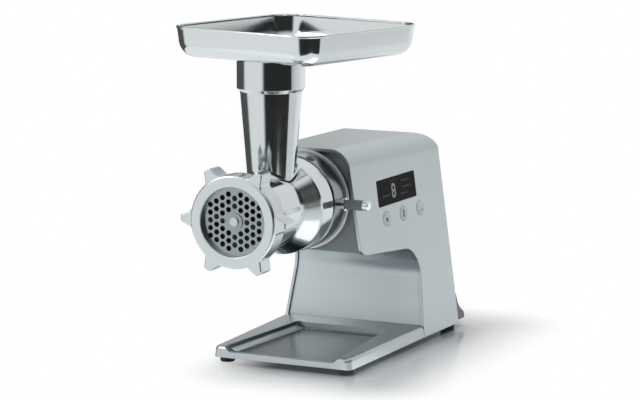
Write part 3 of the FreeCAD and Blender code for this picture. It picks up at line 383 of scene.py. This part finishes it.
finishes = {
    "satin_alloy": brushedMetal("satinShell", (0.485, 0.535, 0.55), 0.34, frontToBack),
    "face_alloy": moulded("satinFace", (0.42, 0.465, 0.48), 0.36),
    "polished_alloy": castMetal("polishedCast", (0.62, 0.66, 0.67), 0.10, grain=60.0, depth=0.0004,
                                strength=0.06, spread=0.03, rub=0.2),
    "cast_alloy": castMetal("bareCast", (0.58, 0.62, 0.63), 0.42),
    "satin_cast": castMetal("blastedCast", (0.60, 0.645, 0.66), 0.28, grain=1100.0, depth=0.00005,
                            strength=0.25),
    "bright_trim": turnedMetal("brightTrim", (0.86, 0.89, 0.90), 0.30),
    "polished_steel": turnedMetal("polishedSteel", (0.58, 0.61, 0.62), 0.16),
    "tool_steel": brushedMetal("groundSteel", (0.42, 0.44, 0.46), 0.28, sideToSide),
    "tray_steel": brushedMetal("polishedSheet", (0.64, 0.675, 0.685), 0.11, frontToBack, spread=0.03,
                               depth=0.00001),
    "motor_steel": brushedMetal("platedSteel", (0.52, 0.53, 0.55), 0.32, frontToBack),
    "drip_metal": brushedMetal("dripSheet", (0.16, 0.185, 0.195), 0.20, sideToSide, rim=0.92),
    "foot_rubber": moulded("footRubber", (0.025, 0.026, 0.028), 0.62),
    "black_rubber": moulded("inletRubber", (0.03, 0.03, 0.032), 0.58),
    "dark_plastic": moulded("darkMoulding", (0.21, 0.235, 0.24), 0.45),
    "black_plastic": moulded("blackMoulding", (0.02, 0.02, 0.022), 0.42),
    "black_glass": moulded("blackGlass", (0.003, 0.004, 0.005), 0.22, grain=2400.0, depth=0.000004,
                           strength=0.05, shine=0.03, rub=0.05),
    "button_plastic": moulded("buttonSatin", (0.80, 0.84, 0.85), 0.40),
    "board_green": boardLaminate("boardGreen", (0.02, 0.16, 0.06)),
    "nylon": moulded("naturalNylon", (0.78, 0.76, 0.70), 0.48),
    "bronze": castMetal("sinteredBronze", (0.62, 0.42, 0.22), 0.36, grain=1800.0),
    "copper": turnedMetal("turnedCopper", (0.80, 0.42, 0.26), 0.22),
    "ferrite": castMetal("ferrite", (0.10, 0.10, 0.11), 0.55),
    "core_iron": brushedMetal("laminatedIron", (0.22, 0.22, 0.23), 0.45, stacked),
    "carbon": moulded("pressedCarbon", (0.03, 0.03, 0.03), 0.55),
}
# nodes whose own finish differs from that of their slot
nodeFinish = {
    # the column's nook reaches farther and goes darker: painted shade under the overhanging head
    "column_panel": brushedMetal("satinColumn", (0.57, 0.62, 0.635), 0.34, sideToSide, deepest=0.5,
                                 reach=0.06),
    "trim_ring": castMetal("satinTrim", (0.95, 0.97, 0.98), 0.62, grain=1400.0, depth=0.00005, strength=0.2),
    # painted shade: the fascia is darker than its slot's finish, standing in for the shade behind the drum
    "front_fascia": moulded("fasciaShadedMoulding", (0.29, 0.32, 0.33), 0.45),
    "socket_collar": turnedMetal("polishedCollar", (0.26, 0.29, 0.30), 0.16),
    "grinding_plate": turnedMetal("grindingPlate", (0.30, 0.335, 0.35), 0.24),
    "back_cover": moulded("backMoulding", (0.20, 0.22, 0.228), 0.46),
}
for row in frame["record"]["subparts"]:
    node = frame["nodes"][row["node"]]
    node.data.materials.clear()
    node.data.materials.append(nodeFinish.get(row["node"], finishes[row["material_slot"]]))
print("finishes:", len(finishes) + len(nodeFinish))


# piece helpers

xAxis, yAxis, zAxis = Vector((1, 0, 0)), Vector((0, 1, 0)), Vector((0, 0, 1))
merge = 1e-7  # points nearer than this are one


def finishPiece(name, bm, material, body, sharp=35.0):
    bmesh.ops.recalc_face_normals(bm, faces=bm.faces)
    mesh = bpy.data.meshes.new(name)
    bm.to_mesh(mesh)
    bm.free()
    for face in mesh.polygons:
        face.use_smooth = True
    mesh.set_sharp_from_angle(angle=math.radians(sharp))
    mesh.materials.append(material)
    piece = bpy.data.objects.new(name, mesh)
    scene.collection.objects.link(piece)
    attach(piece, body)
    return piece


def middle(node):
    low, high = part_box(node)
    return (low + high) / 2


def standOn(place, out, up):
    # a stand whose z points outwards and whose y points up
    across = up.cross(out)
    return Matrix.Translation(place) @ Matrix((across, up, out)).transposed().to_4x4()


def onAxis(depth):
    return Vector((augerAxis[0], depth, augerAxis[1]))


def spoke(angle):
    # direction away from the auger's axis, from the right side upwards
    turn = math.radians(angle)
    return xAxis * math.cos(turn) + zAxis * math.sin(turn)


def newGeometry(made, kind):
    return [item for item in made["geom"] if isinstance(item, kind)]


def edgesOf(verts):
    return list({edge for vert in verts for edge in vert.link_edges})


def openEdges(edges):
    return [edge for edge in edges if edge.is_boundary]


def bevelEdges(bm, edges, offset, segments):
    bmesh.ops.bevel(bm, geom=edges, offset=offset, affect="EDGES", segments=segments, profile=0.5,
                    material=-1)


def addTurned(bm, stand, profile, steps, hoop=False):
    # profile of (reach, height) points spun about the stand's z; a hoop's profile is closed
    points = [bm.verts.new(stand @ Vector((reach, 0, height))) for reach, height in profile]
    pairs = list(zip(points, points[1:])) + ([(points[-1], points[0])] if hoop else [])
    lines = [bm.edges.new(pair) for pair in pairs]
    axis = stand.to_3x3() @ zAxis
    bmesh.ops.spin(bm, geom=points + lines, cent=stand.translation, axis=axis, angle=2 * math.pi,
                   steps=steps, use_merge=True)
    bmesh.ops.remove_doubles(bm, verts=bm.verts, dist=merge)


# the right side's plane, which carries the display and the buttons: it widens backwards and downwards
sideSlope = {"flare": 0.0416, "lean": 0.136, "glass": 0.0020}
sideOut = Vector((1, -sideSlope["flare"], sideSlope["lean"])).normalized()
sideBack = Vector((sideSlope["flare"], 1, 0)).normalized()
sideUp = sideOut.cross(sideBack)
glassFace = middle("display_window") + sideOut * (sideSlope["glass"] / 2)


def onSide(back, up, out):
    # a stand on the right side, from the middle of the glass; out is measured from its face
    return standOn(glassFace + sideBack * back + sideUp * up + sideOut * out, sideOut, sideUp)


def addPanel(bm, back, up, out, half, thick):
    # thin raised plate on the right side
    size = Matrix.Diagonal((2 * half[0], 2 * half[1], thick, 1))
    bmesh.ops.create_cube(bm, size=1.0, matrix=onSide(back, up, out + thick / 2) @ size)


# pressed pan of the food tray, rounder towards its bottom, with the spigot that stands in the feed tube
trayPan = {"width": 0.150, "length": 0.148, "corner": 0.021, "cornerSteps": 12, "draw": 0.0032,
           "bottomCorner": 0.0178, "edge": 0.0125, "edgeSteps": 7, "depth": 0.025, "wall": 0.0012,
           "turn": -14.7, "offset": 0.031, "spigot": 0.0226, "spigotSteps": 56, "spigotDepth": 0.014}


def trayPlace(drop=0.0):
    # middle of the tray's rim, turned as the tray stands on its tube
    place = middle("food_tray")
    place.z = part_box("food_tray")[1].z - drop
    return Matrix.Translation(place) @ Matrix.Rotation(math.radians(trayPan["turn"]), 4, "Z")


def roundedPlate(bm, halfX, halfY, corner, height):
    stand = Matrix.Translation((0, 0, height)) @ Matrix.Diagonal((halfX, halfY, 1, 1))
    corners = bmesh.ops.create_grid(bm, x_segments=1, y_segments=1, size=1.0, matrix=stand)["verts"]
    bmesh.ops.bevel(bm, geom=corners, offset=corner, affect="VERTICES", segments=trayPan["cornerSteps"],
                    profile=0.5, material=-1)
    return next(face for face in bm.faces if abs(face.calc_center_median().z - height) < merge * 10)


def makeTrayPan():
    halfX, halfY, draw = trayPan["width"] / 2, trayPan["length"] / 2, trayPan["draw"]
    bm = bmesh.new()
    rim = roundedPlate(bm, halfX, halfY, trayPan["corner"], 0)
    bottom = roundedPlate(bm, halfX - draw, halfY - draw, trayPan["bottomCorner"], -trayPan["depth"])
    rimEdges, bottomEdges = list(rim.edges), list(bottom.edges)
    bmesh.ops.delete(bm, geom=[rim], context="FACES_ONLY")
    bmesh.ops.bridge_loops(bm, edges=rimEdges + bottomEdges)
    bevelEdges(bm, bottomEdges, trayPan["edge"], trayPan["edgeSteps"])
    # the bottom is filled again round the hole of the spigot
    bottom = max(bm.faces, key=lambda face: face.calc_area())
    bottomEdges = list(bottom.edges)
    bmesh.ops.delete(bm, geom=[bottom], context="FACES_ONLY")
    place = Matrix.Translation((0, -trayPan["offset"], -trayPan["depth"]))
    hole = bmesh.ops.create_circle(bm, segments=trayPan["spigotSteps"], radius=trayPan["spigot"],
                                   matrix=place)
    holeEdges = edgesOf(hole["verts"])
    bmesh.ops.triangle_fill(bm, use_beauty=True, edges=bottomEdges + holeEdges)
    made = bmesh.ops.extrude_edge_only(bm, edges=holeEdges)
    bmesh.ops.translate(bm, verts=newGeometry(made, bmesh.types.BMVert), vec=(0, 0, -trayPan["spigotDepth"]))
    bmesh.ops.remove_doubles(bm, verts=bm.verts, dist=merge * 10)
    bmesh.ops.recalc_face_normals(bm, faces=bm.faces)
    outermost = max(bm.faces, key=lambda face: face.calc_center_median().x)
    if outermost.normal.x < 0:
        bmesh.ops.reverse_faces(bm, faces=bm.faces)
    bmesh.ops.solidify(bm, geom=bm.faces, thickness=trayPan["wall"])
    bmesh.ops.transform(bm, matrix=trayPlace(), verts=bm.verts)
    piece = finishPiece("trayPan", bm, finishes["tray_steel"], "tray")
    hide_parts("food_tray")


makeTrayPan()

# rolled bead round the tray's rim
trayRim = {"inset": 0.0006, "bead": 0.0012, "beadSteps": 10, "drop": 0.0006}


def makeTrayRim():
    corner = trayPan["corner"] - trayRim["inset"]
    halfX = trayPan["width"] / 2 - trayPan["corner"]
    halfY = trayPan["length"] / 2 - trayPan["corner"]
    bm = bmesh.new()
    start = standOn(Vector((halfX + corner, -halfY, 0)), yAxis, zAxis)
    bead = bmesh.ops.create_circle(bm, segments=trayRim["beadSteps"], radius=trayRim["bead"], matrix=start)
    edges = edgesOf(bead["verts"])
    # four straight runs, each with the corner at its end
    runs = ((yAxis * 2 * halfY, (1, 1)), (-xAxis * 2 * halfX, (-1, 1)), (-yAxis * 2 * halfY, (-1, -1)),
            (xAxis * 2 * halfX, (1, -1)))
    for run, (i, j) in runs:
        made = bmesh.ops.extrude_edge_only(bm, edges=edges)
        moved = newGeometry(made, bmesh.types.BMVert)
        bmesh.ops.translate(bm, verts=moved, vec=run)
        ends = [edge for edge in newGeometry(made, bmesh.types.BMEdge) if set(edge.verts) <= set(moved)]
        last = bmesh.ops.spin(bm, geom=moved + ends, cent=(i * halfX, j * halfY, 0), axis=zAxis,
                              angle=math.pi / 2, steps=trayPan["cornerSteps"])["geom_last"]
        edges = [item for item in last if isinstance(item, bmesh.types.BMEdge)]
    bmesh.ops.remove_doubles(bm, verts=bm.verts, dist=merge * 10)
    bmesh.ops.transform(bm, matrix=trayPlace(trayRim["drop"]), verts=bm.verts)
    finishPiece("trayRim", bm, finishes["tray_steel"], "tray")


makeTrayRim()

# screw thread on the head's nose, inside the ring nut
noseThread = {"radius": 0.0335, "start": 0.0012, "length": 0.0115, "pitch": 0.003, "height": 0.00020,
              "half": 0.0010, "sink": 0.0002, "turnSteps": 72}


def makeNoseThread():
    centre = onAxis(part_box("grinder_barrel")[0].y + noseThread["start"])
    steps = int(noseThread["length"] / noseThread["pitch"] * noseThread["turnSteps"])
    bm = bmesh.new()
    ridge = []
    for offset, rise in ((-1, -noseThread["sink"]), (0, noseThread["height"]), (1, -noseThread["sink"])):
        spot = xAxis * (noseThread["radius"] + rise) + yAxis * (offset * noseThread["half"])
        ridge.append(bm.verts.new(centre + spot))
    face = bm.faces.new(ridge)
    bmesh.ops.spin(bm, geom=[face] + ridge + list(face.edges), cent=centre, axis=-yAxis,
                   dvec=yAxis * noseThread["pitch"] / noseThread["turnSteps"],
                   angle=2 * math.pi * steps / noseThread["turnSteps"], steps=steps)
    finishPiece("noseThread", bm, finishes["polished_alloy"], "head", 60.0)


makeNoseThread()

# cast ribs along the barrel's two sides, where the mould parted; the tip is in shares of the size
barrelRib = {"radius": 0.0300, "size": 0.0017, "start": 0.0215, "length": 0.0320, "lift": 8.0, "steps": 20,
             "tip": ((0, 0), (0.7, 0.4), (1.0, 1.3))}


def makeBarrelRibs():
    start = onAxis(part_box("grinder_barrel")[0].y + barrelRib["start"])
    size, length = barrelRib["size"], barrelRib["length"]
    profile = [(size * reach, size * height) for reach, height in barrelRib["tip"]]
    profile += [(reach, length - height) for reach, height in reversed(profile)]
    bm = bmesh.new()
    for angle in (barrelRib["lift"], 180 - barrelRib["lift"]):
        stand = standOn(start + spoke(angle) * barrelRib["radius"], yAxis, zAxis)
        addTurned(bm, stand, profile, barrelRib["steps"])
    finishPiece("barrelRibs", bm, finishes["polished_alloy"], "head", 60.0)


makeBarrelRibs()

# fluted sleeve on the lock's grip
gripSleeve = {"radius": 0.00405, "flute": 0.00028, "flutes": 22, "fluteSteps": 8, "inset": 0.0009,
              "edge": 0.0003}


def makeGripSleeve():
    low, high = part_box("lock_grip")
    centre = middle("lock_grip")
    length = high.x - low.x - 2 * gripSleeve["inset"]
    radius, steps = gripSleeve["radius"], gripSleeve["fluteSteps"]
    bm = bmesh.new()
    segments = steps * gripSleeve["flutes"]
    ring = bmesh.ops.create_circle(bm, cap_ends=True, segments=segments, radius=radius)["verts"]
    for index in range(1, steps):
        grown = 1 + gripSleeve["flute"] / radius * math.sin(math.pi * index / steps)
        bmesh.ops.scale(bm, verts=ring[index::steps], vec=(grown, grown, 1))
    made = bmesh.ops.extrude_face_region(bm, geom=list(bm.faces))
    bmesh.ops.translate(bm, verts=newGeometry(made, bmesh.types.BMVert), vec=(0, 0, length))
    ends = [edge for edge in bm.edges if abs(edge.verts[0].co.z - edge.verts[1].co.z) < merge]
    bevelEdges(bm, ends, gripSleeve["edge"], 2)
    stand = standOn(Vector((low.x + gripSleeve["inset"], centre.y, centre.z)), xAxis, zAxis)
    bmesh.ops.transform(bm, matrix=stand, verts=bm.verts)
    finishPiece("gripSleeve", bm, finishes["dark_plastic"], "lock")


makeGripSleeve()

# ribs on the cord inlet's bush
inletRibs = {"radius": 0.0080, "rise": 0.0009, "sink": 0.0002, "count": 4, "pitch": 0.0020, "width": 0.0010,
             "slope": 0.00025, "start": 0.0020, "steps": 40}


def makeInletRibs():
    centre = middle("cord_inlet")
    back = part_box("main_shell")[1].y
    foot, crown = inletRibs["radius"] - inletRibs["sink"], inletRibs["radius"] + inletRibs["rise"]
    width, slope = inletRibs["width"], inletRibs["slope"]
    profile = [(foot, 0), (crown, slope), (crown, width - slope), (foot, width)]
    bm = bmesh.new()
    for index in range(inletRibs["count"]):
        place = Vector((centre.x, back + inletRibs["start"] + index * inletRibs["pitch"], centre.z))
        addTurned(bm, standOn(place, yAxis, zAxis), profile, inletRibs["steps"], True)
    finishPiece("inletRibs", bm, finishes["black_rubber"], "housing")


makeInletRibs()

# pan head of a screw with a cross, in shares of its radius and height; the edge lists (reach, rise) points
screwHead = {"arm": 0.62, "half": 0.16, "depth": 0.85, "rimCuts": 4,
             "edge": ((0.90, 1.0), (0.97, 0.78), (1.0, 0.4), (1.0, -0.3))}


def addScrew(bm, stand, radius, height):
    # a grid whose middle cross is pushed in, with its rim drawn out into a round head
    arm, half = radius * screwHead["arm"], radius * screwHead["half"]
    head = bmesh.new()
    bmesh.ops.create_grid(head, x_segments=3, y_segments=3, size=arm)
    for vert in head.verts:
        x, y = (math.copysign(half if abs(value) < arm / 2 else arm, value) for value in vert.co.xy)
        vert.co = (x, y, height)
    cross = [face for face in head.faces if min(map(abs, face.calc_center_median().xy)) < half / 2]
    pushed = newGeometry(bmesh.ops.extrude_face_region(head, geom=cross), bmesh.types.BMVert)
    bmesh.ops.delete(head, geom=cross, context="FACES")
    bmesh.ops.translate(head, verts=pushed, vec=(0, 0, -height * screwHead["depth"]))
    bmesh.ops.subdivide_edges(head, edges=openEdges(head.edges), cuts=screwHead["rimCuts"])
    rim = openEdges(head.edges)
    for reach, rise in screwHead["edge"]:
        made = bmesh.ops.extrude_edge_only(head, edges=rim)
        for vert in newGeometry(made, bmesh.types.BMVert):
            vert.co = (vert.co.xy.normalized() * radius * reach).to_3d() + zAxis * height * rise
        rim = openEdges(newGeometry(made, bmesh.types.BMEdge))
    bmesh.ops.edgeloop_fill(head, edges=rim)
    bmesh.ops.transform(head, matrix=stand, verts=head.verts)
    mesh = bpy.data.meshes.new("screwHead")
    head.to_mesh(mesh)
    head.free()
    bm.from_mesh(mesh)
    bpy.data.meshes.remove(mesh)


# screws of the back cover
coverScrew = {"radius": 0.0030, "height": 0.0016, "x": 0.043, "z": (0.037, 0.132), "lift": 0.0008}


def makeCoverScrews():
    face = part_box("main_shell")[1].y + coverScrew["lift"]
    bm = bmesh.new()
    for height in coverScrew["z"]:
        for side in (-1, 1):
            place = Vector((augerAxis[0] + side * coverScrew["x"], face, height))
            addScrew(bm, standOn(place, yAxis, zAxis), coverScrew["radius"], coverScrew["height"])
    finishPiece("coverScrews", bm, finishes["motor_steel"], "housing")


# screws in the base's underside, their depths counted from its front
baseScrew = {"radius": 0.0034, "height": 0.0016, "x": 0.034, "depths": (0.045, 0.120, 0.195)}


def makeBaseScrews():
    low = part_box("base_frame")[0]
    bm = bmesh.new()
    for depth in baseScrew["depths"]:
        for side in (-1, 1):
            place = Vector((augerAxis[0] + side * baseScrew["x"], low.y + depth, low.z))
            addScrew(bm, standOn(place, -zAxis, yAxis), baseScrew["radius"], baseScrew["height"])
    finishPiece("baseScrews", bm, finishes["motor_steel"], "housing")


# set screw in the collar
collarScrew = {"radius": 0.0036, "height": 0.0012, "angle": 68.0, "depth": 0.0065, "sink": 0.0002}


def makeCollarScrew():
    low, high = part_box("socket_collar")
    out = spoke(collarScrew["angle"])
    place = onAxis(low.y + collarScrew["depth"]) + out * ((high.x - low.x) / 2 - collarScrew["sink"])
    bm = bmesh.new()
    addScrew(bm, standOn(place, out, yAxis), collarScrew["radius"], collarScrew["height"])
    finishPiece("collarScrew", bm, finishes["dark_plastic"], "housing")


makeCoverScrews()
makeBaseScrews()
makeCollarScrew()

# lit numeral and faint rows of marks on the glass, all plain bars; lengths in millimetres
displayMarks = {"digitAt": (-5.5, -0.6), "digitHalf": (2.6, 5.0), "stroke": 1.05, "gap": 0.3,
                "rows": ((11.0, 5.6, 4), (13.5, 0.2, 4), (9.0, -5.2, 3), (-25.5, -3.2, 4)),
                "rowPitch": 4.2, "rowHalf": (1.6, 0.75), "tint": (-4.5, 8.2), "tintHalf": (8.5, 1.2),
                "lift": 0.02, "thick": 0.04}
millimetre = 0.001
markPale = moulded("markPale", (0.50, 0.54, 0.48), 0.5, shine=0.1)
markFaint = moulded("markFaint", (0.085, 0.095, 0.085), 0.5, shine=0.1)
markRed = moulded("markRed", (0.030, 0.004, 0.007), 0.5, shine=0.1)


def addBar(bm, back, up, half):
    place = [value * millimetre for value in (back, up, displayMarks["lift"])]
    addPanel(bm, *place, [value * millimetre for value in half], displayMarks["thick"] * millimetre)


def makeDisplayMarks():
    back, up = displayMarks["digitAt"]
    wide, tall = displayMarks["digitHalf"]
    stroke = displayMarks["stroke"]
    bm = bmesh.new()
    for level in (-1, 0, 1):
        addBar(bm, back, up + level * tall, (wide if level else wide - stroke, stroke))
    for i in (-1, 1):
        for j in (-1, 1):
            addBar(bm, back + i * wide, up + j * tall / 2, (stroke, tall / 2 - displayMarks["gap"]))
    finishPiece("displayNumeral", bm, markPale, "housing")
    bm = bmesh.new()
    for left, height, count in displayMarks["rows"]:
        for index in range(count):
            addBar(bm, left + index * displayMarks["rowPitch"], height, displayMarks["rowHalf"])
    finishPiece("displayRows", bm, markFaint, "housing")
    bm = bmesh.new()
    addBar(bm, *displayMarks["tint"], displayMarks["tintHalf"])
    finishPiece("displayTint", bm, markRed, "housing")


makeDisplayMarks()

# marks on the buttons: a dot, a bar and a pair of small dots
buttonMarks = {"offset": 0.008, "pitch": 0.0325, "drop": 0.0222, "face": 0.00071, "thick": 0.00004,
               "dots": {"front": ((-0.0004, -0.0006, 0.0019),),
                        "rear": ((-0.0026, -0.0026, 0.0008), (0.0026, -0.0022, 0.0008))},
               "bars": {"middle": ((-0.0006, 0.0, (0.0013, 0.0034)),)}, "dotSteps": 32}
buttonNames = ("front", "middle", "rear")
markGrey = moulded("markGrey", (0.13, 0.145, 0.15), 0.5)


def buttonBack(index):
    return buttonMarks["offset"] + (index - 1) * buttonMarks["pitch"]


def makeButtonMarks():
    face, thick, drop = buttonMarks["face"], buttonMarks["thick"], buttonMarks["drop"]
    for index, name in enumerate(buttonNames):
        back = buttonBack(index)
        bm = bmesh.new()
        for x, y, radius in buttonMarks["dots"].get(name, ()):
            stand = onSide(back + x, y - drop, face + thick / 2)
            bmesh.ops.create_cone(bm, cap_ends=True, segments=buttonMarks["dotSteps"], radius1=radius,
                                  radius2=radius, depth=thick, matrix=stand)
        for x, y, half in buttonMarks["bars"].get(name, ()):
            addPanel(bm, back + x, y - drop, face, half, thick)
        finishPiece(name + "ButtonMark", bm, markGrey, name + "_button")


makeButtonMarks()

# thin hoops on the shell round the buttons, clear of the moving caps
buttonHoops = {"inner": 0.00597, "outer": 0.00690, "foot": 0.00005, "shoulder": 0.00040, "crown": 0.00050,
               "outerRound": 0.0003, "innerRound": 0.0001, "steps": 56}


def makeButtonHoops():
    inner, outer, crown = buttonHoops["inner"], buttonHoops["outer"], buttonHoops["crown"]
    profile = [(inner, buttonHoops["foot"]), (outer, buttonHoops["foot"]), (outer, buttonHoops["shoulder"]),
               (outer - buttonHoops["outerRound"], crown), (inner + buttonHoops["innerRound"], crown)]
    bm = bmesh.new()
    for index in range(len(buttonNames)):
        stand = onSide(buttonBack(index), -buttonMarks["drop"], 0)
        addTurned(bm, stand, profile, buttonHoops["steps"], True)
    finishPiece("buttonHoops", bm, finishes["button_plastic"], "housing")


makeButtonHoops()

# sloping flanges along the drip plate's two sides
dripFlange = {"frontHalf": 0.0516, "backHalf": 0.0417, "front": 0.0035, "back": 0.0030, "width": 0.0070,
              "rise": 0.0024, "sink": 0.0006, "borderDrop": 0.0009, "edge": 0.0003}


def makeDripFlanges():
    low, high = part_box("drip_plate")
    centre = (low.x + high.x) / 2
    front, back = low.y + dripFlange["front"], high.y - dripFlange["back"]
    half, top = dripFlange["frontHalf"], high.z
    section = ((half, top - dripFlange["sink"]), (half, top + dripFlange["rise"]),
               (half - dripFlange["width"], top - dripFlange["borderDrop"]))
    bm = bmesh.new()
    face = bm.faces.new([bm.verts.new((centre + x, front, z)) for x, z in section])
    made = bmesh.ops.extrude_face_region(bm, geom=[face])
    bmesh.ops.translate(bm, verts=newGeometry(made, bmesh.types.BMVert),
                        vec=(dripFlange["backHalf"] - half, back - front, 0))
    crest = [edge for edge in bm.edges if all(vert.co.z > top for vert in edge.verts)]
    bevelEdges(bm, crest, dripFlange["edge"], 2)
    bmesh.ops.mirror(bm, geom=list(bm.verts) + list(bm.edges) + list(bm.faces),
                     matrix=Matrix.Translation((-centre, 0, 0)), merge_dist=merge, axis="X")
    finishPiece("dripFlanges", bm, finishes["satin_alloy"], "drip")


makeDripFlanges()
print("pieces: tray, thread, ribs, grip, inlet, screws, display, buttons and drip flanges")


# studio light: bright at the front left, the back and above, dark at the left and the front right
sky = {
    # bearings from the front, positive towards the right, and the light there
    "zones": ((-180, 0.92), (-158, 0.90), (-148, 0.10), (-80, 0.10), (-70, 1.0), (-6, 1.0),
              (3, 0.03), (98, 0.03), (118, 0.90), (180, 0.92)),
    # heights are the z of a direction of length 1
    "overhead": 0.95, "overheadFrom": 0.35, "overheadFull": 0.75,
    # a dark flag at the right and behind: bearings and heights of its soft edges
    "flagBearing": (96, 108, 130, 144), "flagHeight": (0.08, 0.18, 0.62, 0.80), "flagLight": 0.04,
}


def makeWorld():
    world = bpy.data.worlds.new("studio")
    scene.world = world
    world.use_nodes = True
    tree = world.node_tree
    tree.nodes.clear()
    parts = addNode(tree, "SeparateXYZ", {0: addNode(tree, "TexCoord").outputs["Generated"]}).outputs
    bearing = mathNode(tree, "ARCTAN2", parts[0], mathNode(tree, "MULTIPLY", parts[1], -1.0))
    ramp = addNode(tree, "ValToRGB", {0: rangeNode(tree, bearing, -math.pi, math.pi)})
    stops = ramp.color_ramp.elements
    while len(stops) > 1:
        stops.remove(stops[-1])
    for index, (angle, level) in enumerate(sky["zones"]):
        stop = stops[0] if index == 0 else stops.new((angle + 180) / 360)
        stop.position = (angle + 180) / 360
        stop.color = (level, level, level, 1.0)
    high = rangeNode(tree, parts[2], sky["overheadFrom"], sky["overheadFull"])
    colour = mixColour(tree, high, ramp.outputs[0], [sky["overhead"]] * 3)
    turn = mathNode(tree, "MULTIPLY", bearing, math.degrees(1))
    flag = mathNode(tree, "MULTIPLY", bandNode(tree, turn, sky["flagBearing"]),
                    bandNode(tree, parts[2], sky["flagHeight"]))
    colour = mixColour(tree, flag, colour, [sky["flagLight"]] * 3)
    light = addNode(tree, "Background", {"Color": colour, "Strength": 1.0})
    # the camera itself sees plain white
    white = addNode(tree, "Background", {"Color": (1, 1, 1, 1), "Strength": 1.0})
    seen = addNode(tree, "LightPath").outputs["Is Camera Ray"]
    mix = addNode(tree, "MixShader", {0: seen, 1: light.outputs[0], 2: white.outputs[0]})
    tree.links.new(mix.outputs[0], addNode(tree, "OutputWorld").inputs[0])


# pale floor, cut away where mirrors have to see the dark zones
floorSheet = {
    "edge": ((-0.48, -0.42), (0.48, -0.42), (0.48, -0.02), (2.5, 0.25), (2.5, 4.0), (-1.6, 4.0),
             (-0.48, 0.60)),
    "colour": (0.84, 0.86, 0.87), "spread": 0.01, "cloud": 6.0, "rough": 0.16, "ior": 1.45,
    # contact shadow under the base and the feet
    "contact": 0.045, "contactPower": 1.6, "contactColour": (0.03, 0.033, 0.035),
    # glow that only mirrors see, and a brighter card at the right with soft edges across and along
    "glow": 0.27, "cardGlow": 1.00,
    "cardAcross": (0.030, 0.055, 0.220, 0.320), "cardAlong": (-0.20, -0.12, 0.00, 0.05),
    # the shadow's place in x and y, and how far from it the floor has faded into the white background
    "standing": ((-0.012, 0.075), (-0.080, 0.165)), "fadeTo": 0.085,
}


def makeFloor():
    bm = bmesh.new()
    bm.faces.new([bm.verts.new((x, y, 0)) for x, y in floorSheet["edge"]])
    mesh = bpy.data.meshes.new("floor")
    bm.to_mesh(mesh)
    bm.free()
    floor = bpy.data.objects.new("floor", mesh)
    scene.collection.objects.link(floor)
    material, tree, shader, place = newMaterial("paleFloor")
    cloud = noiseNode(tree, place, floorSheet["cloud"], 2.0)[0]
    pale = mixColour(tree, cloud, *shades(floorSheet["colour"], floorSheet["spread"]))
    near = addNode(tree, "AmbientOcclusion", {"Distance": floorSheet["contact"]}, samples=8).outputs["AO"]
    lit = mathNode(tree, "POWER", near, floorSheet["contactPower"])
    parts = addNode(tree, "SeparateXYZ", {0: place}).outputs
    path = addNode(tree, "LightPath").outputs
    card = mathNode(tree, "MULTIPLY", bandNode(tree, parts[0], floorSheet["cardAcross"]),
                    bandNode(tree, parts[1], floorSheet["cardAlong"]))
    mirrored = rangeNode(tree, card, 0.0, 1.0, floorSheet["glow"], floorSheet["cardGlow"])
    feedAll(tree, shader, {
        "Base Color": mixColour(tree, lit, floorSheet["contactColour"], pale),
        "Roughness": floorSheet["rough"],
        "IOR": floorSheet["ior"],
        "Emission Color": (1, 1, 1, 1),
        "Emission Strength": mathNode(tree, "MULTIPLY", path["Is Glossy Ray"], mirrored),
    })
    # the fade, for the camera only
    gaps = []
    for axis, (low, high) in zip(parts[:2], floorSheet["standing"]):
        outside = mathNode(tree, "MAXIMUM", mathNode(tree, "SUBTRACT", low, axis),
                           mathNode(tree, "SUBTRACT", axis, high))
        gaps.append(mathNode(tree, "MAXIMUM", outside, 0.0))
    fade = rangeNode(tree, distanceNode(tree, *gaps), 0.0, floorSheet["fadeTo"], kind="SMOOTHSTEP")
    white = addNode(tree, "Emission", {"Color": (1, 1, 1, 1), "Strength": 1.0})
    factor = mathNode(tree, "MULTIPLY", fade, path["Is Camera Ray"])
    mix = addNode(tree, "MixShader", {0: factor, 1: shader.outputs[0], 2: white.outputs[0]})
    out = next(node for node in tree.nodes if node.type == "OUTPUT_MATERIAL")
    tree.links.new(mix.outputs[0], out.inputs[0])
    mesh.materials.append(material)


# soft lamp at the front left, its power in watts
keyLamp = {"place": (-1.2, -0.9, 1.4), "aim": (0, 0, 0.12), "size": 0.9, "power": 9.0}


def makeLamp():
    lamp = bpy.data.lights.new("keyLeft", "AREA")
    lamp.shape = "SQUARE"
    lamp.size = keyLamp["size"]
    lamp.energy = keyLamp["power"]
    holder = bpy.data.objects.new("keyLeft", lamp)
    scene.collection.objects.link(holder)
    way = Vector(keyLamp["aim"]) - Vector(keyLamp["place"])
    turn = way.to_track_quat("-Z", "Y").to_matrix().to_4x4()
    holder.matrix_world = Matrix.Translation(keyLamp["place"]) @ turn


makeWorld()
makeFloor()
makeLamp()
print("studio: world, floor and lamp")

# camera as the photograph was taken; lens and sensor in millimetres
view = {"turn": 25.19, "rise": 9.23, "distance": 2.202, "target": (-0.00406, -0.00379, 0.132),
        "lens": 147.58, "sensor": 36.0, "clip": 50.0}


def makeCamera():
    turn, rise = math.radians(view["turn"]), math.radians(view["rise"])
    away = Vector((math.sin(turn) * math.cos(rise), -math.cos(turn) * math.cos(rise), math.sin(rise)))
    data = bpy.data.cameras.new("camera")
    data.lens = view["lens"]
    data.sensor_width = view["sensor"]
    data.clip_end = view["clip"]
    camera = bpy.data.objects.new("camera", data)
    scene.collection.objects.link(camera)
    place = Matrix.Translation(Vector(view["target"]) + away * view["distance"])
    camera.matrix_world = place @ away.to_track_quat("Z", "Y").to_matrix().to_4x4()
    scene.camera = camera


makeCamera()
scene.view_settings.view_transform = "Standard"
print("camera at the photograph's angle")
